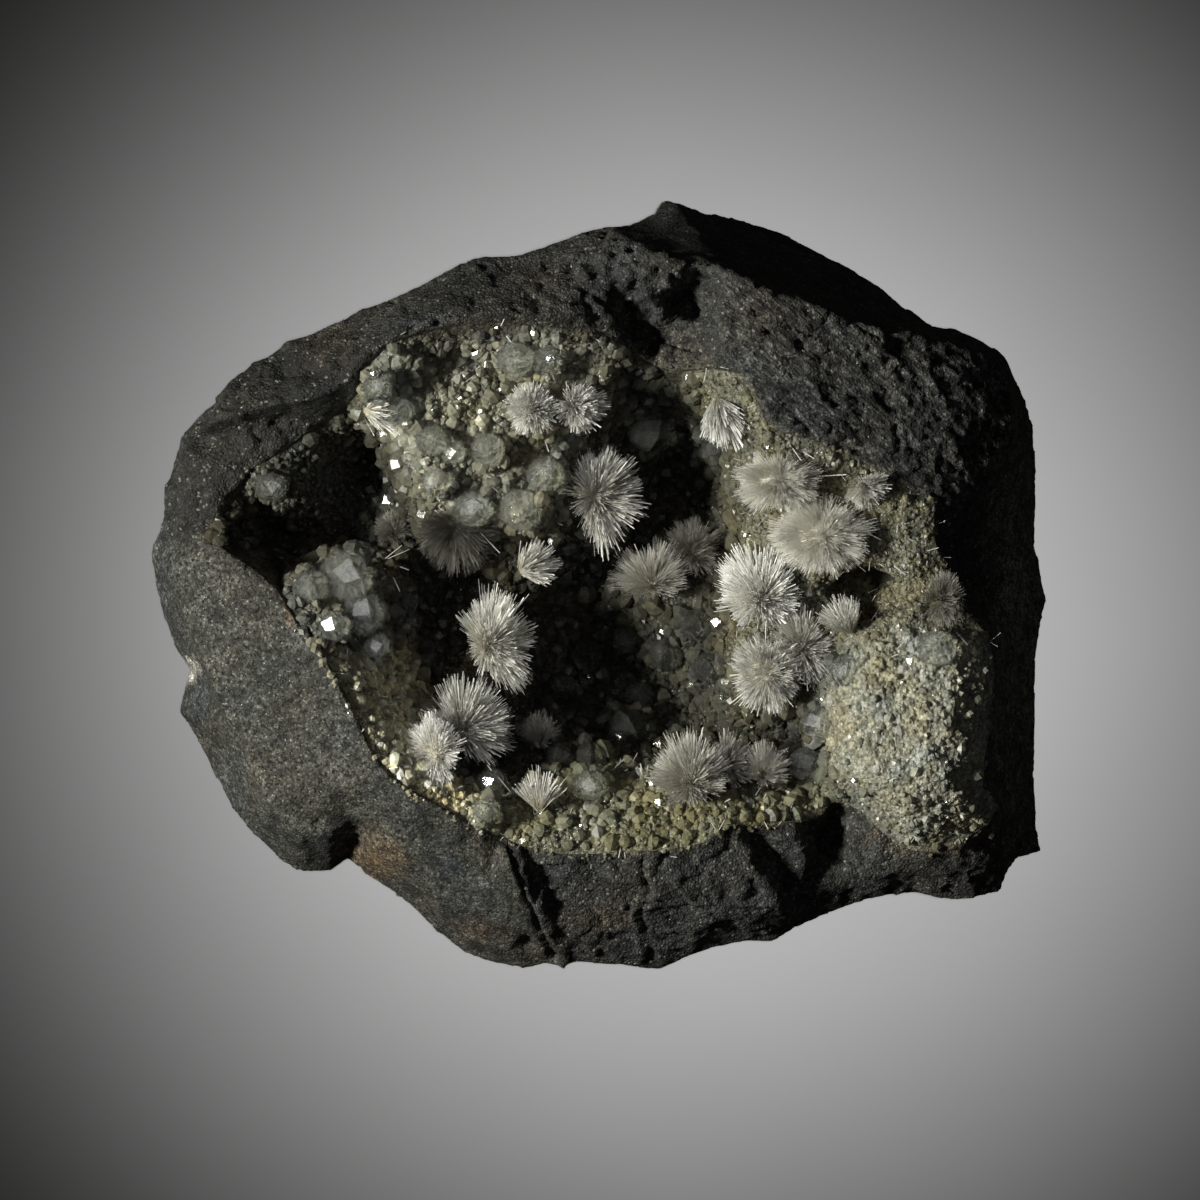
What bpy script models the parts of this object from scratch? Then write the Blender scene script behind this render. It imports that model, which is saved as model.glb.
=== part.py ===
"""Natrolite with analcime: a broken piece of basalt that lies on its back, with an open vug in its face.

The vug is lined by one grown crust of analcime with larger crystals on it, and sprays of natrolite
needles stand on the crust. Plan positions are written in plan units, a grid laid over the face with x to
the right and y down, because the stone is irregular and was read off that grid. UNIT turns them into
metres. Heights are in millimetres above the flat back.
"""

import math
import random
from itertools import permutations, product

import bmesh
import bpy
import numpy as np
from mathutils import Vector, noise
from mathutils.bvhtree import BVHTree
from mathutils.geometry import delaunay_2d_cdt

# Driving dimensions, in metres
STONE_WIDTH = 0.112
MM = 0.001
GAP = 0.00035
CRUST_THICKNESS = 0.0026
CRUST_EDGE = 0.0012

# How far a trapezohedron's corners reach, against the distance of its faces
CRYSTAL_REACH = 1.225
CRYSTAL_STANDS_OUT = 0.45

# The plan grid
PLAN_WIDTH = 898.0
PLAN_CENTRE = (600.0, 584.5)
UNIT = STONE_WIDTH / PLAN_WIDTH

# Spacing of the points that carry the relief, in plan units
FACE_STEP = 36.0
VUG_STEP = 30.0
RIM_STEP = 32.0

# How rough the broken faces and the crust are
FACE_ROUGHNESS = 0.45 * MM
CRUST_ROUGHNESS = 0.55 * MM
SIDE_ROUGHNESS = 2.2 * MM

# The broken sides: levels of their rings, as shares of the height, and the planes that cut them,
# each (direction in degrees, lean in degrees, distance at the back in millimetres)
SIDE_LEVELS = (0.82, 0.56, 0.28, 0.0)
SIDE_INSET = 0.05
SIDE_FACETS = [
    (4, 9, 51), (40, 24, 44), (84, 22, 37), (122, 30, 37), (158, 20, 48),
    (196, 22, 46), (232, 26, 39), (272, 16, 42), (318, 24, 45),
]

# The silhouette, clockwise from the top tip: (x, y, height)
OUTLINE = [
    # smooth dark face at the upper right
    (664, 198, 24), (676, 200, 24), (702, 210, 22), (732, 216, 21), (762, 224, 20), (791, 235, 20),
    (820, 250, 20), (850, 266, 20), (880, 284, 20), (905, 306, 21), (930, 324, 23), (957, 329, 25),
    (985, 341, 27),
    # right shoulder and side
    (1006, 357, 28), (1018, 380, 27), (1028, 402, 26), (1035, 430, 24), (1038, 470, 22), (1039, 507, 21),
    (1037, 545, 21), (1044, 572, 21), (1049, 600, 21), (1042, 628, 21), (1037, 658, 21), (1037, 695, 20),
    (1037, 735, 20), (1037, 775, 20), (1039, 815, 21), (1043, 852, 24),
    # lower right corner and bottom edge
    (1018, 860, 26), (1008, 874, 28), (1001, 893, 29), (975, 899, 30), (945, 900, 30), (912, 893, 30),
    (885, 897, 31), (856, 902, 31), (828, 913, 31), (800, 926, 31), (772, 942, 30), (745, 941, 31),
    (715, 948, 31), (688, 957, 31), (660, 971, 30), (630, 966, 31), (600, 963, 31), (574, 962, 31),
    (563, 968, 30), (546, 964, 29), (521, 970, 28), (495, 964, 28),
    # lower left, with the notch
    (465, 953, 27), (438, 932, 27), (412, 908, 27), (386, 888, 27), (363, 872, 27), (347, 858, 27),
    (328, 871, 26), (300, 873, 26), (279, 862, 26), (255, 836, 27), (230, 808, 27), (216, 778, 27),
    (198, 742, 26), (178, 713, 25), (183, 688, 24), (188, 670, 25), (175, 648, 27), (163, 617, 28),
    (155, 585, 28), (151, 548, 28),
    # left side
    (163, 518, 28), (164, 490, 28), (174, 462, 29), (181, 437, 30),
    # upper left
    (196, 419, 31), (214, 402, 33), (230, 380, 34), (250, 365, 35), (270, 357, 35), (287, 341, 36),
    (312, 335, 36), (335, 324, 36), (360, 311, 36), (393, 299, 36), (425, 284, 36), (458, 265, 36),
    (485, 257, 36), (520, 256, 36), (555, 243, 35), (585, 233, 35), (607, 226, 34), (630, 225, 32),
    (652, 213, 27),
]

# The rim where the crust meets the broken basalt, clockwise from the left pocket
RIM = [
    # left pocket, under the terrace
    (208, 538, 37), (222, 518, 36.5), (230, 498, 36), (245, 482, 36), (262, 467, 36), (282, 454, 36),
    (302, 440, 35.5), (322, 424, 36),
    # below the lip of the upper left face
    (345, 409, 39), (360, 394, 43), (366, 374, 45), (380, 357, 45.5), (400, 343, 46), (430, 333, 46),
    (465, 327, 46), (500, 325, 46), (533, 328, 45.5), (565, 332, 45), (592, 331, 44), (612, 338, 42),
    # across the hollows at the top
    (632, 355, 39), (656, 368, 37.5), (682, 373, 40), (708, 371, 43), (738, 376, 45.5),
    # under the large right face
    (752, 395, 46), (760, 422, 45.5), (783, 436, 45.5), (808, 443, 45.5), (833, 454, 45.5),
    (860, 462, 45), (886, 478, 45), (906, 494, 44.5), (929, 503, 43.5), (928, 527, 43), (931, 549, 42.5),
    (942, 570, 42), (947, 593, 42), (960, 613, 42), (984, 638, 42.5),
    # the granular patch at the right
    (988, 665, 43), (986, 697, 43), (984, 727, 43), (978, 760, 43), (977, 788, 42), (992, 804, 40),
    (985, 820, 39.5), (960, 836, 38.5), (930, 848, 38), (900, 842, 38), (880, 824, 38.5),
    (862, 806, 38.5), (846, 798, 38),
    # notch and bottom ledge
    (829, 797, 38), (818, 812, 38.5), (795, 819, 40), (768, 822, 41), (743, 821, 42), (720, 824, 43),
    (700, 840, 43), (668, 846, 43), (632, 847, 43), (593, 850, 43), (556, 850, 43), (524, 843, 42.5),
    (503, 834, 42.5),
    # edge of the smooth lower left face
    (481, 826, 44.5), (456, 812, 46), (430, 798, 46.5), (405, 783, 46.5), (386, 766, 46.5),
    (371, 743, 46.5), (360, 718, 46.3), (348, 694, 46), (335, 670, 46), (321, 646, 45.5),
    (305, 628, 45), (292, 608, 44), (280, 588, 43), (262, 572, 42), (243, 559, 41), (224, 547, 39.5),
]

# Ridges and steps of the broken faces, each a line of (x, y, height)
RIDGES = {
    "dark_face_edge": [
        (614, 232, 38), (632, 242, 42), (650, 254, 45), (670, 262, 46), (700, 266, 46.5),
        (728, 273, 47), (760, 291, 47.5), (798, 302, 48), (832, 318, 48), (862, 325, 47.5),
        (886, 334, 47), (916, 334, 45), (950, 344, 43), (984, 352, 41), (1003, 369, 38.5),
    ],
    "right_face_edge": [(1010, 405, 38.5), (1012, 438, 38), (1001, 462, 38.5), (975, 482, 41), (948, 498, 42.5)],
    "terrace_lip": [(192, 430, 33), (216, 420, 38), (252, 411, 41), (290, 402, 43), (325, 396, 44.5)],
    "terrace_foot": [(200, 438, 32), (222, 431, 34.5), (256, 424, 35.5), (290, 416, 36)],
    "upper_left_lip": [
        (350, 380, 45.5), (362, 358, 46), (388, 338, 46.5), (425, 321, 47), (465, 315, 47),
        (505, 313, 47), (545, 317, 46.5), (580, 318, 46),
    ],
    "lower_left_end": [(510, 858, 44.5), (520, 880, 43.5), (532, 905, 41.5), (543, 935, 37)],
    "lower_left_end_foot": [(536, 862, 41.5), (546, 888, 39.5), (556, 915, 37.5), (563, 942, 34.5)],
    "weathered_edge": [
        (172, 560, 34), (184, 610, 35.5), (204, 660, 37), (222, 705, 37.5), (243, 750, 38),
        (268, 800, 38.5), (300, 834, 37.5), (330, 836, 37.5),
    ],
    "weathered_edge_below_notch": [(372, 848, 37.5), (402, 868, 37.5), (440, 900, 37), (478, 929, 35), (508, 942, 34)],
    "bottom_step": [(736, 838, 42), (756, 868, 41), (780, 903, 38.5)],
    "bottom_step_foot": [(760, 842, 38.5), (780, 868, 36.5), (798, 896, 34.5)],
    "patch_foot": [(1000, 668, 35.5), (998, 700, 35.5), (995, 740, 35.5), (991, 778, 35.5)],
}

# Single heights on the broken faces
FACE_HEIGHTS = [
    # upper left face, with its groove and hump
    (225, 398, 37), (258, 384, 38.5), (286, 362, 37.5), (322, 356, 41.5), (350, 340, 41),
    (400, 315, 42.5), (445, 296, 42.5), (500, 288, 42.5), (555, 280, 43), (600, 258, 42.5),
    # between the hollows at the top
    (600, 285, 43.5), (640, 278, 45), (622, 296, 40.5), (648, 300, 43), (600, 306, 43.5),
    (672, 280, 44.5), (668, 300, 39), (690, 292, 37), (698, 312, 36), (704, 282, 42.5), (720, 300, 44.5),
    (726, 322, 45.5), (700, 328, 41), (668, 322, 39.5), (634, 326, 36.5), (658, 340, 34.5),
    (690, 350, 38), (722, 350, 44.5),
    # smooth dark face
    (700, 236, 37), (760, 256, 37), (820, 282, 37), (880, 308, 36), (660, 235, 37),
    # large right face
    (760, 330, 47.8), (815, 355, 47.6), (870, 372, 46.8), (930, 385, 45), (980, 400, 42.2),
    (790, 395, 47.2), (845, 420, 46.8), (900, 430, 45.8), (950, 440, 43.8), (925, 475, 44.2),
    (870, 440, 46.2), (820, 435, 46.4), (770, 405, 46.8),
    # hollow dark side at the right
    (958, 520, 38.5), (978, 512, 37), (953, 552, 37), (966, 588, 35.5), (985, 560, 32), (1008, 500, 32),
    (1015, 560, 27.5), (1022, 606, 27), (1000, 622, 32), (1012, 660, 30.5), (1011, 700, 31),
    (1009, 745, 31), (1006, 790, 31), (1010, 830, 31),
    # lower right
    (1000, 845, 34.5), (985, 862, 34.5), (960, 868, 35.5), (920, 870, 36), (882, 868, 36.5),
    (853, 845, 36.5), (850, 818, 36.8), (842, 885, 34.5), (1022, 846, 28),
    # shadowed notch
    (831, 818, 33), (824, 842, 32.5), (816, 866, 34.5),
    # bottom faces
    (795, 838, 40.5), (776, 832, 40.5), (806, 858, 39), (718, 870, 41), (698, 900, 39.5), (744, 912, 37.5),
    (700, 930, 35.5), (655, 895, 40.5), (655, 935, 35.5), (615, 880, 41.5), (600, 915, 38), (612, 944, 34.5),
    (578, 900, 39), (575, 868, 41.8),
    # smooth lower left face
    (205, 572, 38.5), (235, 610, 41), (262, 650, 42.2), (275, 705, 41.8), (305, 745, 42.6),
    (335, 790, 42.3), (395, 820, 42.4), (450, 858, 41.8), (490, 898, 40), (215, 520, 35.5),
    # rough terrace at the left
    (196, 460, 34.5), (232, 455, 36), (268, 440, 36.2), (190, 500, 34.5), (205, 485, 35.6),
    # notch in the lower left edge
    (349, 843, 31.5), (357, 834, 36),
]

# Heights of the crust inside the rim
VUG_HEIGHTS = [
    # left pocket and the crust fragment that stands in it
    (240, 522, 27), (262, 545, 24), (285, 562, 27), (256, 490, 33.5), (276, 480, 33.5), (302, 490, 31.5),
    (270, 510, 30.5), (295, 515, 27), (322, 520, 24), (304, 466, 33.5), (325, 450, 31), (345, 475, 23.5),
    (370, 490, 20.5), (350, 515, 19.5), (378, 528, 20.5), (328, 548, 22), (300, 545, 22),
    (360, 440, 26), (385, 455, 25.5), (360, 550, 25),
    # lit platform at the upper left
    (384, 400, 42), (384, 376, 43), (405, 362, 42.5), (432, 350, 41), (470, 350, 38.5), (510, 345, 40.5),
    (545, 350, 41.2), (575, 350, 41), (600, 356, 39.5), (425, 385, 41.8), (470, 378, 41), (505, 380, 39),
    (545, 382, 40.5), (585, 380, 39), (404, 425, 41), (440, 425, 40.4), (475, 425, 40), (510, 425, 38.8),
    (545, 425, 37.2), (575, 430, 34), (412, 465, 39), (445, 465, 38.6), (485, 465, 38), (525, 465, 37),
    (560, 470, 34), (430, 500, 36.5), (465, 505, 35.6), (505, 505, 35.6), (540, 510, 34), (455, 528, 32.5),
    (500, 532, 31.5), (545, 535, 30), (580, 510, 30.5), (595, 530, 29.5), (600, 500, 29),
    # hollow under the top notches
    (615, 400, 34), (600, 450, 28.5), (640, 395, 29.5), (645, 425, 26), (672, 395, 31), (692, 405, 32),
    (700, 435, 26), (690, 470, 20), (660, 500, 19), (635, 465, 21), (725, 440, 32), (722, 480, 26),
    # deep middle
    (630, 540, 20.5), (600, 570, 20), (600, 640, 18), (650, 670, 19), (600, 700, 19.5), (560, 655, 20),
    (555, 605, 21), (690, 660, 22.5), (700, 700, 22.5), (650, 575, 25.5), (680, 560, 24.5),
    (640, 625, 22), (700, 610, 27), (705, 560, 25), (715, 520, 24.5),
    # knobs that carry sprays left of the middle
    (520, 568, 31), (498, 582, 29), (485, 652, 31.5), (466, 668, 31.5), (505, 672, 27), (510, 620, 24),
    (430, 560, 26), (400, 555, 27), (440, 600, 22.5), (425, 635, 23.5), (460, 615, 24.5), (415, 675, 28),
    (450, 695, 29), (540, 705, 22), (520, 740, 27),
    # crystal cluster and lower left wall
    (312, 590, 41), (342, 580, 39.5), (372, 590, 37), (332, 615, 40.5), (362, 630, 38), (392, 610, 33.5),
    (396, 645, 32.5), (345, 650, 41), (376, 658, 37), (360, 682, 41), (400, 692, 33.5), (383, 712, 39),
    (412, 722, 36.5), (402, 748, 41), (430, 742, 39), (452, 758, 38), (432, 778, 42), (470, 780, 38),
    (465, 730, 35), (500, 755, 32),
    # bottom ledge
    (485, 802, 41), (512, 800, 40), (542, 788, 38.5), (540, 820, 41.6), (580, 818, 41.6), (572, 780, 36.5),
    (620, 818, 41.6), (612, 780, 36.5), (660, 818, 41.6), (650, 780, 36.5), (700, 805, 41), (690, 772, 36.5),
    (740, 800, 40), (730, 775, 35), (780, 800, 39), (770, 772, 34), (808, 792, 38), (560, 750, 30),
    (610, 745, 27), (660, 745, 26.5), (710, 742, 26), (760, 738, 25), (800, 748, 28.5),
    # right wall
    (738, 398, 44), (732, 418, 40), (768, 448, 43.8), (747, 462, 38.5), (742, 492, 34), (745, 530, 31),
    (738, 562, 28.5), (778, 500, 39), (782, 540, 36), (810, 478, 43), (830, 510, 41.5), (822, 548, 38.5),
    (860, 492, 43.5), (862, 530, 41.8), (896, 520, 43.5), (902, 556, 43), (880, 552, 41.8), (925, 590, 42.8),
    (800, 580, 35), (770, 575, 33), (760, 612, 32.5), (738, 600, 29.5), (728, 640, 31), (745, 680, 33.5),
    (772, 652, 34), (800, 640, 33), (740, 705, 32), (772, 712, 31), (800, 702, 31.5), (816, 668, 31.5),
    (822, 640, 33.5), (838, 618, 37),
    # round hole
    (852, 585, 31), (866, 592, 30), (879, 600, 31.5), (830, 588, 37.5), (846, 566, 40.5), (872, 563, 41.8),
    (897, 575, 42.6), (902, 597, 42.6), (888, 617, 42), (862, 624, 41),
    # granular patch
    (862, 645, 43), (900, 635, 44), (940, 640, 44.5), (966, 655, 44.8), (838, 680, 41.5), (880, 680, 45.4),
    (920, 680, 46), (962, 685, 46), (834, 720, 41), (860, 720, 44.6), (900, 720, 46.4), (940, 722, 46.8),
    (966, 725, 46.3), (836, 762, 41.5), (880, 760, 46), (920, 762, 46.6), (956, 765, 46), (855, 780, 43.5),
    (884, 792, 45), (920, 800, 45.4), (956, 800, 44.4), (908, 822, 43.6), (950, 822, 41.5), (915, 838, 40.2),
]

# Larger analcime crystals that stand out of the crust: (x, y, radius in millimetres, turn in degrees)
ANALCIMES = [
    (520, 507, 2.7, 12), (472, 506, 2.4, 40), (430, 441, 2.0, 70), (488, 449, 2.2, 25), (437, 479, 1.9, 5),
    (452, 452, 1.7, 50), (404, 409, 1.7, 15), (376, 381, 1.9, 33), (548, 362, 2.0, 60), (516, 350, 2.4, 20),
    (543, 474, 2.4, 80), (549, 525, 1.1, 10), (644, 424, 2.9, 28), (344, 584, 3.4, 45), (312, 590, 2.3, 9),
    (361, 612, 2.7, 22), (330, 632, 2.0, 65), (390, 612, 2.0, 35), (424, 662, 1.9, 18), (375, 645, 1.7, 55),
    (270, 480, 2.0, 30), (492, 786, 1.9, 26), (486, 815, 1.7, 75), (412, 700, 1.5, 58), (626, 735, 2.8, 38),
    (588, 762, 2.1, 11), (560, 762, 1.9, 66), (590, 790, 2.2, 31), (640, 700, 2.1, 52), (585, 655, 2.4, 7),
    (625, 640, 2.3, 71), (560, 690, 2.0, 44), (668, 652, 2.2, 29), (700, 625, 2.1, 16), (712, 668, 2.0, 37),
    (808, 768, 2.2, 49), (822, 722, 2.2, 68), (848, 672, 2.0, 24), (935, 650, 2.3, 41),
]

# Natrolite sprays: (name, x, y, lift of the root, needle length in mm, turn, tilt to the viewer, half angle)
SPRAYS = [
    ("natrolite_spray_corner", 366, 410, 0.6, 5.4, 12, 38, 48),
    ("natrolite_spray_platform_left", 536, 408, 1.0, 5.4, 200, 64, 92),
    ("natrolite_spray_platform_right", 568, 402, 1.2, 5.4, -10, 52, 80),
    ("natrolite_spray_hanging", 604, 498, 1.6, 7.0, 8, 42, 100),
    ("natrolite_spray_cave_left", 392, 546, 1.0, 5.2, 100, 45, 70),
    ("natrolite_spray_under_platform", 456, 524, 1.0, 6.8, -85, 38, 80),
    ("natrolite_spray_small_fan", 522, 566, 0.6, 5.2, 12, 25, 48),
    ("natrolite_spray_left_ball", 492, 650, 1.2, 6.8, 40, 45, 85),
    ("natrolite_spray_middle_fan", 656, 584, 0.8, 6.4, 85, 30, 75),
    ("natrolite_spray_middle_back", 692, 560, 0.8, 5.6, 60, 45, 75),
    ("natrolite_spray_bright_ball", 764, 592, 1.6, 6.6, 110, 62, 98),
    ("natrolite_spray_double_ball_low", 765, 668, 1.4, 5.8, 200, 62, 92),
    ("natrolite_spray_double_ball_side", 794, 650, 1.2, 6.2, 20, 50, 80),
    ("natrolite_spray_wall_upper", 780, 478, 1.0, 5.4, 160, 62, 95),
    ("natrolite_spray_wall_lower", 822, 534, 1.4, 6.2, 200, 68, 98),
    ("natrolite_spray_top_right", 720, 404, 0.6, 6.2, -72, 30, 52),
    ("natrolite_spray_rim_tuft", 866, 486, 0.4, 3.4, -60, 50, 70),
    ("natrolite_spray_hole_fan", 852, 630, 0.5, 5.0, 118, 35, 42),
    ("natrolite_spray_right_rim", 936, 600, 0.6, 4.2, 20, 55, 80),
    ("natrolite_spray_low_left_fan", 462, 728, 1.0, 6.8, 42, 40, 72),
    ("natrolite_spray_low_left_ball", 436, 756, 1.0, 5.2, 110, 58, 88),
    ("natrolite_spray_low_back", 540, 752, 0.5, 4.6, 85, 35, 60),
    ("natrolite_spray_clear_fan", 540, 814, 0.4, 5.8, 92, 28, 50),
    ("natrolite_spray_needle_tuft", 646, 792, 0.3, 3.6, 100, 35, 35),
    ("natrolite_spray_ledge_ball", 690, 780, 1.2, 6.2, 105, 52, 88),
    ("natrolite_spray_ledge_side", 722, 776, 0.8, 5.0, 35, 45, 70),
    ("natrolite_spray_ledge_small", 762, 786, 0.6, 4.6, 80, 35, 60),
]

BASALT_COLOUR = (0.055, 0.055, 0.058, 1)
ANALCIME_COLOUR = (0.42, 0.43, 0.38, 1)
NATROLITE_COLOUR = (0.82, 0.81, 0.77, 1)


def plan(x, y):
    """Plan units to metres in the stone's own frame."""
    return np.array([(x - PLAN_CENTRE[0]) * UNIT, (PLAN_CENTRE[1] - y) * UNIT])


def placed(points):
    """A list of (x, y, height) as an array of places in metres."""
    return np.array([(*plan(x, y), height * MM) for x, y, height in points])


def resampled(loop, step):
    """A closed loop with extra points on its longer sides."""
    points = []
    for start, end in zip(loop, np.roll(loop, -1, axis=0)):
        count = max(1, round(np.linalg.norm(end[:2] - start[:2]) / step))
        points += [start + (end - start) * i / count for i in range(count)]
    return np.array(points)


def outward(loop, distance):
    """A clockwise closed loop moved outwards in plan, as far from each of its sides."""
    along = np.roll(loop, -1, axis=0)[:, :2] - loop[:, :2]
    side = np.column_stack([-along[:, 1], along[:, 0]])
    side /= np.linalg.norm(side, axis=1)[:, None]
    before = np.roll(side, 1, axis=0)
    mitre = (side + before) / np.maximum(1 + (side * before).sum(axis=1), 0.5)[:, None]
    moved = loop.copy()
    moved[:, :2] += mitre * distance
    return moved


def inside(points, loop):
    """Which plan points lie inside a closed loop."""
    found = np.zeros(len(points), bool)
    for (ax, ay), (bx, by) in zip(loop[:, :2], np.roll(loop, -1, axis=0)[:, :2]):
        crosses = (ay > points[:, 1]) != (by > points[:, 1])
        if ay != by:
            found ^= crosses & (points[:, 0] < (bx - ax) * (points[:, 1] - ay) / (by - ay) + ax)
    return found


def distance_to(points, loop):
    """How far plan points lie from a closed loop."""
    nearest = np.full(len(points), np.inf)
    for a, b in zip(loop[:, :2], np.roll(loop, -1, axis=0)[:, :2]):
        share = np.clip(((points - a) @ (b - a)) / max(np.dot(b - a, b - a), 1e-12), 0, 1)
        nearest = np.minimum(nearest, np.linalg.norm(points - a - share[:, None] * (b - a), axis=1))
    return nearest


def bumps(point, size, seed):
    """Smooth noise between about -1 and 1, with features of the given size."""
    return noise.fractal(Vector(point) / size + Vector((seed, 0, 0)), 0.9, 2.1, 4)


def triangles(points, edges, wanted):
    """Constrained triangles over plan points, kept where wanted(centres) says so."""
    flat = [Vector(p[:2]) for p in points]
    result = delaunay_2d_cdt(flat, edges, [], 0, 1e-9)
    source = [origin[0] for origin in result[3]]
    faces = [[source[v] for v in face] for face in result[2]]
    centres = np.array([points[face, :2].mean(axis=0) for face in faces])
    return [face for face, keep in zip(faces, wanted(centres)) if keep]


def jittered_grid(loop, step, seed):
    """Plan points on a shaken hexagonal grid over a loop's box."""
    shake = random.Random(seed)
    low, high = loop[:, :2].min(axis=0), loop[:, :2].max(axis=0)
    rows = int((high[1] - low[1]) / (step * 0.866)) + 2
    columns = int((high[0] - low[0]) / step) + 2
    spots = [
        (
            low[0] + (column + 0.5 * (row % 2) + shake.uniform(-0.22, 0.22)) * step,
            low[1] + (row + shake.uniform(-0.22, 0.22)) * step * 0.866,
        )
        for row in range(rows)
        for column in range(columns)
    ]
    return np.array(spots)


class VugSurface:
    """The crust's top: a smooth surface through the vug's heights and its rim."""

    SOFTNESS = 16 * UNIT

    def __init__(self, rim):
        self.anchors = np.concatenate([placed(VUG_HEIGHTS), rim])
        spread = self.kernel(self.anchors[:, :2])
        self.weights = np.linalg.solve(spread, self.anchors[:, 2] - self.anchors[:, 2].mean())

    def kernel(self, spots):
        away = np.linalg.norm(spots[:, None] - self.anchors[None, :, :2], axis=2)
        return -np.sqrt(away**2 + self.SOFTNESS**2)

    def heights(self, spots):
        return self.kernel(spots) @ self.weights + self.anchors[:, 2].mean()

    def lowered(self, spots, thickness, rim):
        """The surface moved down into the rock by a thickness measured square to it."""
        lowest = self.heights(spots) - thickness
        for ring in range(1, 5):
            radius = thickness * ring / 4
            drop = math.sqrt(max(thickness**2 - radius**2, 0))
            for turn in np.arange(0, 2 * math.pi, math.pi / 6):
                beside = spots + radius * np.array([math.cos(turn), math.sin(turn)])
                height = self.heights(beside) - drop
                lowest = np.minimum(lowest, np.where(inside(beside, rim), height, lowest))
        return lowest


def mesh_object(name, points, faces, material):
    """A closed mesh object from points and triangles, its faces turned outwards."""
    shape = bmesh.new()
    corners = [shape.verts.new(p) for p in points]
    for face in faces:
        shape.faces.new([corners[v] for v in face])
    bmesh.ops.recalc_face_normals(shape, faces=shape.faces)
    if shape.calc_volume(signed=True) < 0:
        bmesh.ops.reverse_faces(shape, faces=shape.faces)
    mesh = bpy.data.meshes.new(name)
    shape.to_mesh(mesh)
    shape.free()
    mesh.materials.append(material)
    made = bpy.data.objects.new(name, mesh)
    bpy.context.scene.collection.objects.link(made)
    return made


def loop_edges(start, count):
    return [(start + i, start + (i + 1) % count) for i in range(count)]


def band(lower, upper, count):
    """Triangles between two rings of the same count, given by their first index."""
    faces = []
    for i in range(count):
        j = (i + 1) % count
        faces += [(lower + i, lower + j, upper + j), (lower + i, upper + j, upper + i)]
    return faces


def face_points(outline, rim):
    """Every relief point of the broken faces, and the edges of its ridges."""
    ridge_points, ridge_edges = [], []
    first = len(outline) + len(rim)
    for line in RIDGES.values():
        start = first + len(ridge_points)
        ridge_points += list(placed(line))
        ridge_edges += [(start + i, start + i + 1) for i in range(len(line) - 1)]
    fixed = np.concatenate([outline, rim, ridge_points, placed(FACE_HEIGHTS)])
    return fixed, ridge_edges


def filled_in(fixed, edges, outline, rim):
    """Points between the fixed ones, on the flats that the fixed ones span, shaken by noise."""
    between = jittered_grid(outline, FACE_STEP * UNIT, 3)
    room = np.array([np.linalg.norm(fixed[:, :2] - spot, axis=1).min() for spot in between])
    between = between[inside(between, outline) & ~inside(between, rim) & (room > 0.45 * FACE_STEP * UNIT)]
    flats = triangles(fixed, edges, lambda centres: np.ones(len(centres), bool))
    tree = BVHTree.FromPolygons([Vector(p) for p in fixed], flats)
    heights = []
    for x, y in between:
        hit = tree.ray_cast(Vector((x, y, 1)), Vector((0, 0, -1)))[0]
        heights.append(hit.z + FACE_ROUGHNESS * bumps((x, y, 0), 0.006, 11))
    return np.column_stack([between, heights])


def side_rings(outline):
    """The broken sides and the flat back under the silhouette, as rings from top to bottom."""
    arms = outline[:, :2]
    lengths = np.linalg.norm(arms, axis=1)
    turns = np.arctan2(arms[:, 1], arms[:, 0])
    rings = []
    for share in SIDE_LEVELS:
        ring = outline.copy()
        ring[:, 2] = outline[:, 2] * share
        reach = lengths * (1 - SIDE_INSET * (1 - share))
        for direction, lean, distance in SIDE_FACETS:
            facing = np.cos(turns - math.radians(direction))
            out = distance * MM + ring[:, 2] * math.tan(math.radians(lean))
            reach = np.where(facing > 0.3, np.minimum(reach, out / np.maximum(facing, 0.3)), reach)
        if share > 0:
            reach -= np.array([abs(bumps(p, 0.010, 29)) for p in ring]) * SIDE_ROUGHNESS
        ring[:, :2] = arms * (reach / lengths)[:, None]
        rings.append(ring)
    return rings


def vug_points(rim):
    """Plan points inside the rim, where crust and rock share one net of triangles."""
    spots = jittered_grid(rim, VUG_STEP * UNIT, 5)
    return spots[inside(spots, rim) & (distance_to(spots, rim) > 0.5 * VUG_STEP * UNIT)]


def make_stone(outline, rim, floor, net, material):
    """The basalt: broken faces, the socket of the vug, sides and flat back."""
    socket_rim = outward(rim, GAP)
    fixed, edges = face_points(outline, socket_rim)
    edges += loop_edges(0, len(outline)) + loop_edges(len(outline), len(rim))
    extra = filled_in(fixed, edges, outline, socket_rim)
    top = np.concatenate([fixed, extra])
    faces = triangles(top, edges, lambda c: inside(c, outline) & ~inside(c, socket_rim))
    socket_edge = rim.copy()
    socket_edge[:, 2] -= CRUST_EDGE + GAP
    edge_start = len(top)
    floor_start = edge_start + len(rim)
    rings = side_rings(outline)
    ring_start = floor_start + len(floor)
    back_centre = [[0, 0, 0]]
    points = np.concatenate([top, socket_edge, floor, *rings, back_centre])
    faces += band(edge_start, len(outline), len(rim))
    shift = np.concatenate([np.arange(len(rim)) + edge_start, np.arange(len(floor)) + floor_start])
    faces += [tuple(shift[v] for v in face) for face in net]
    starts = [0] + [ring_start + i * len(outline) for i in range(len(rings))]
    for upper, lower in zip(starts, starts[1:]):
        faces += band(lower, upper, len(outline))
    faces += [(start, end, len(points) - 1) for start, end in loop_edges(starts[-1], len(outline))]
    return mesh_object("basalt", points, faces, material)


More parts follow.
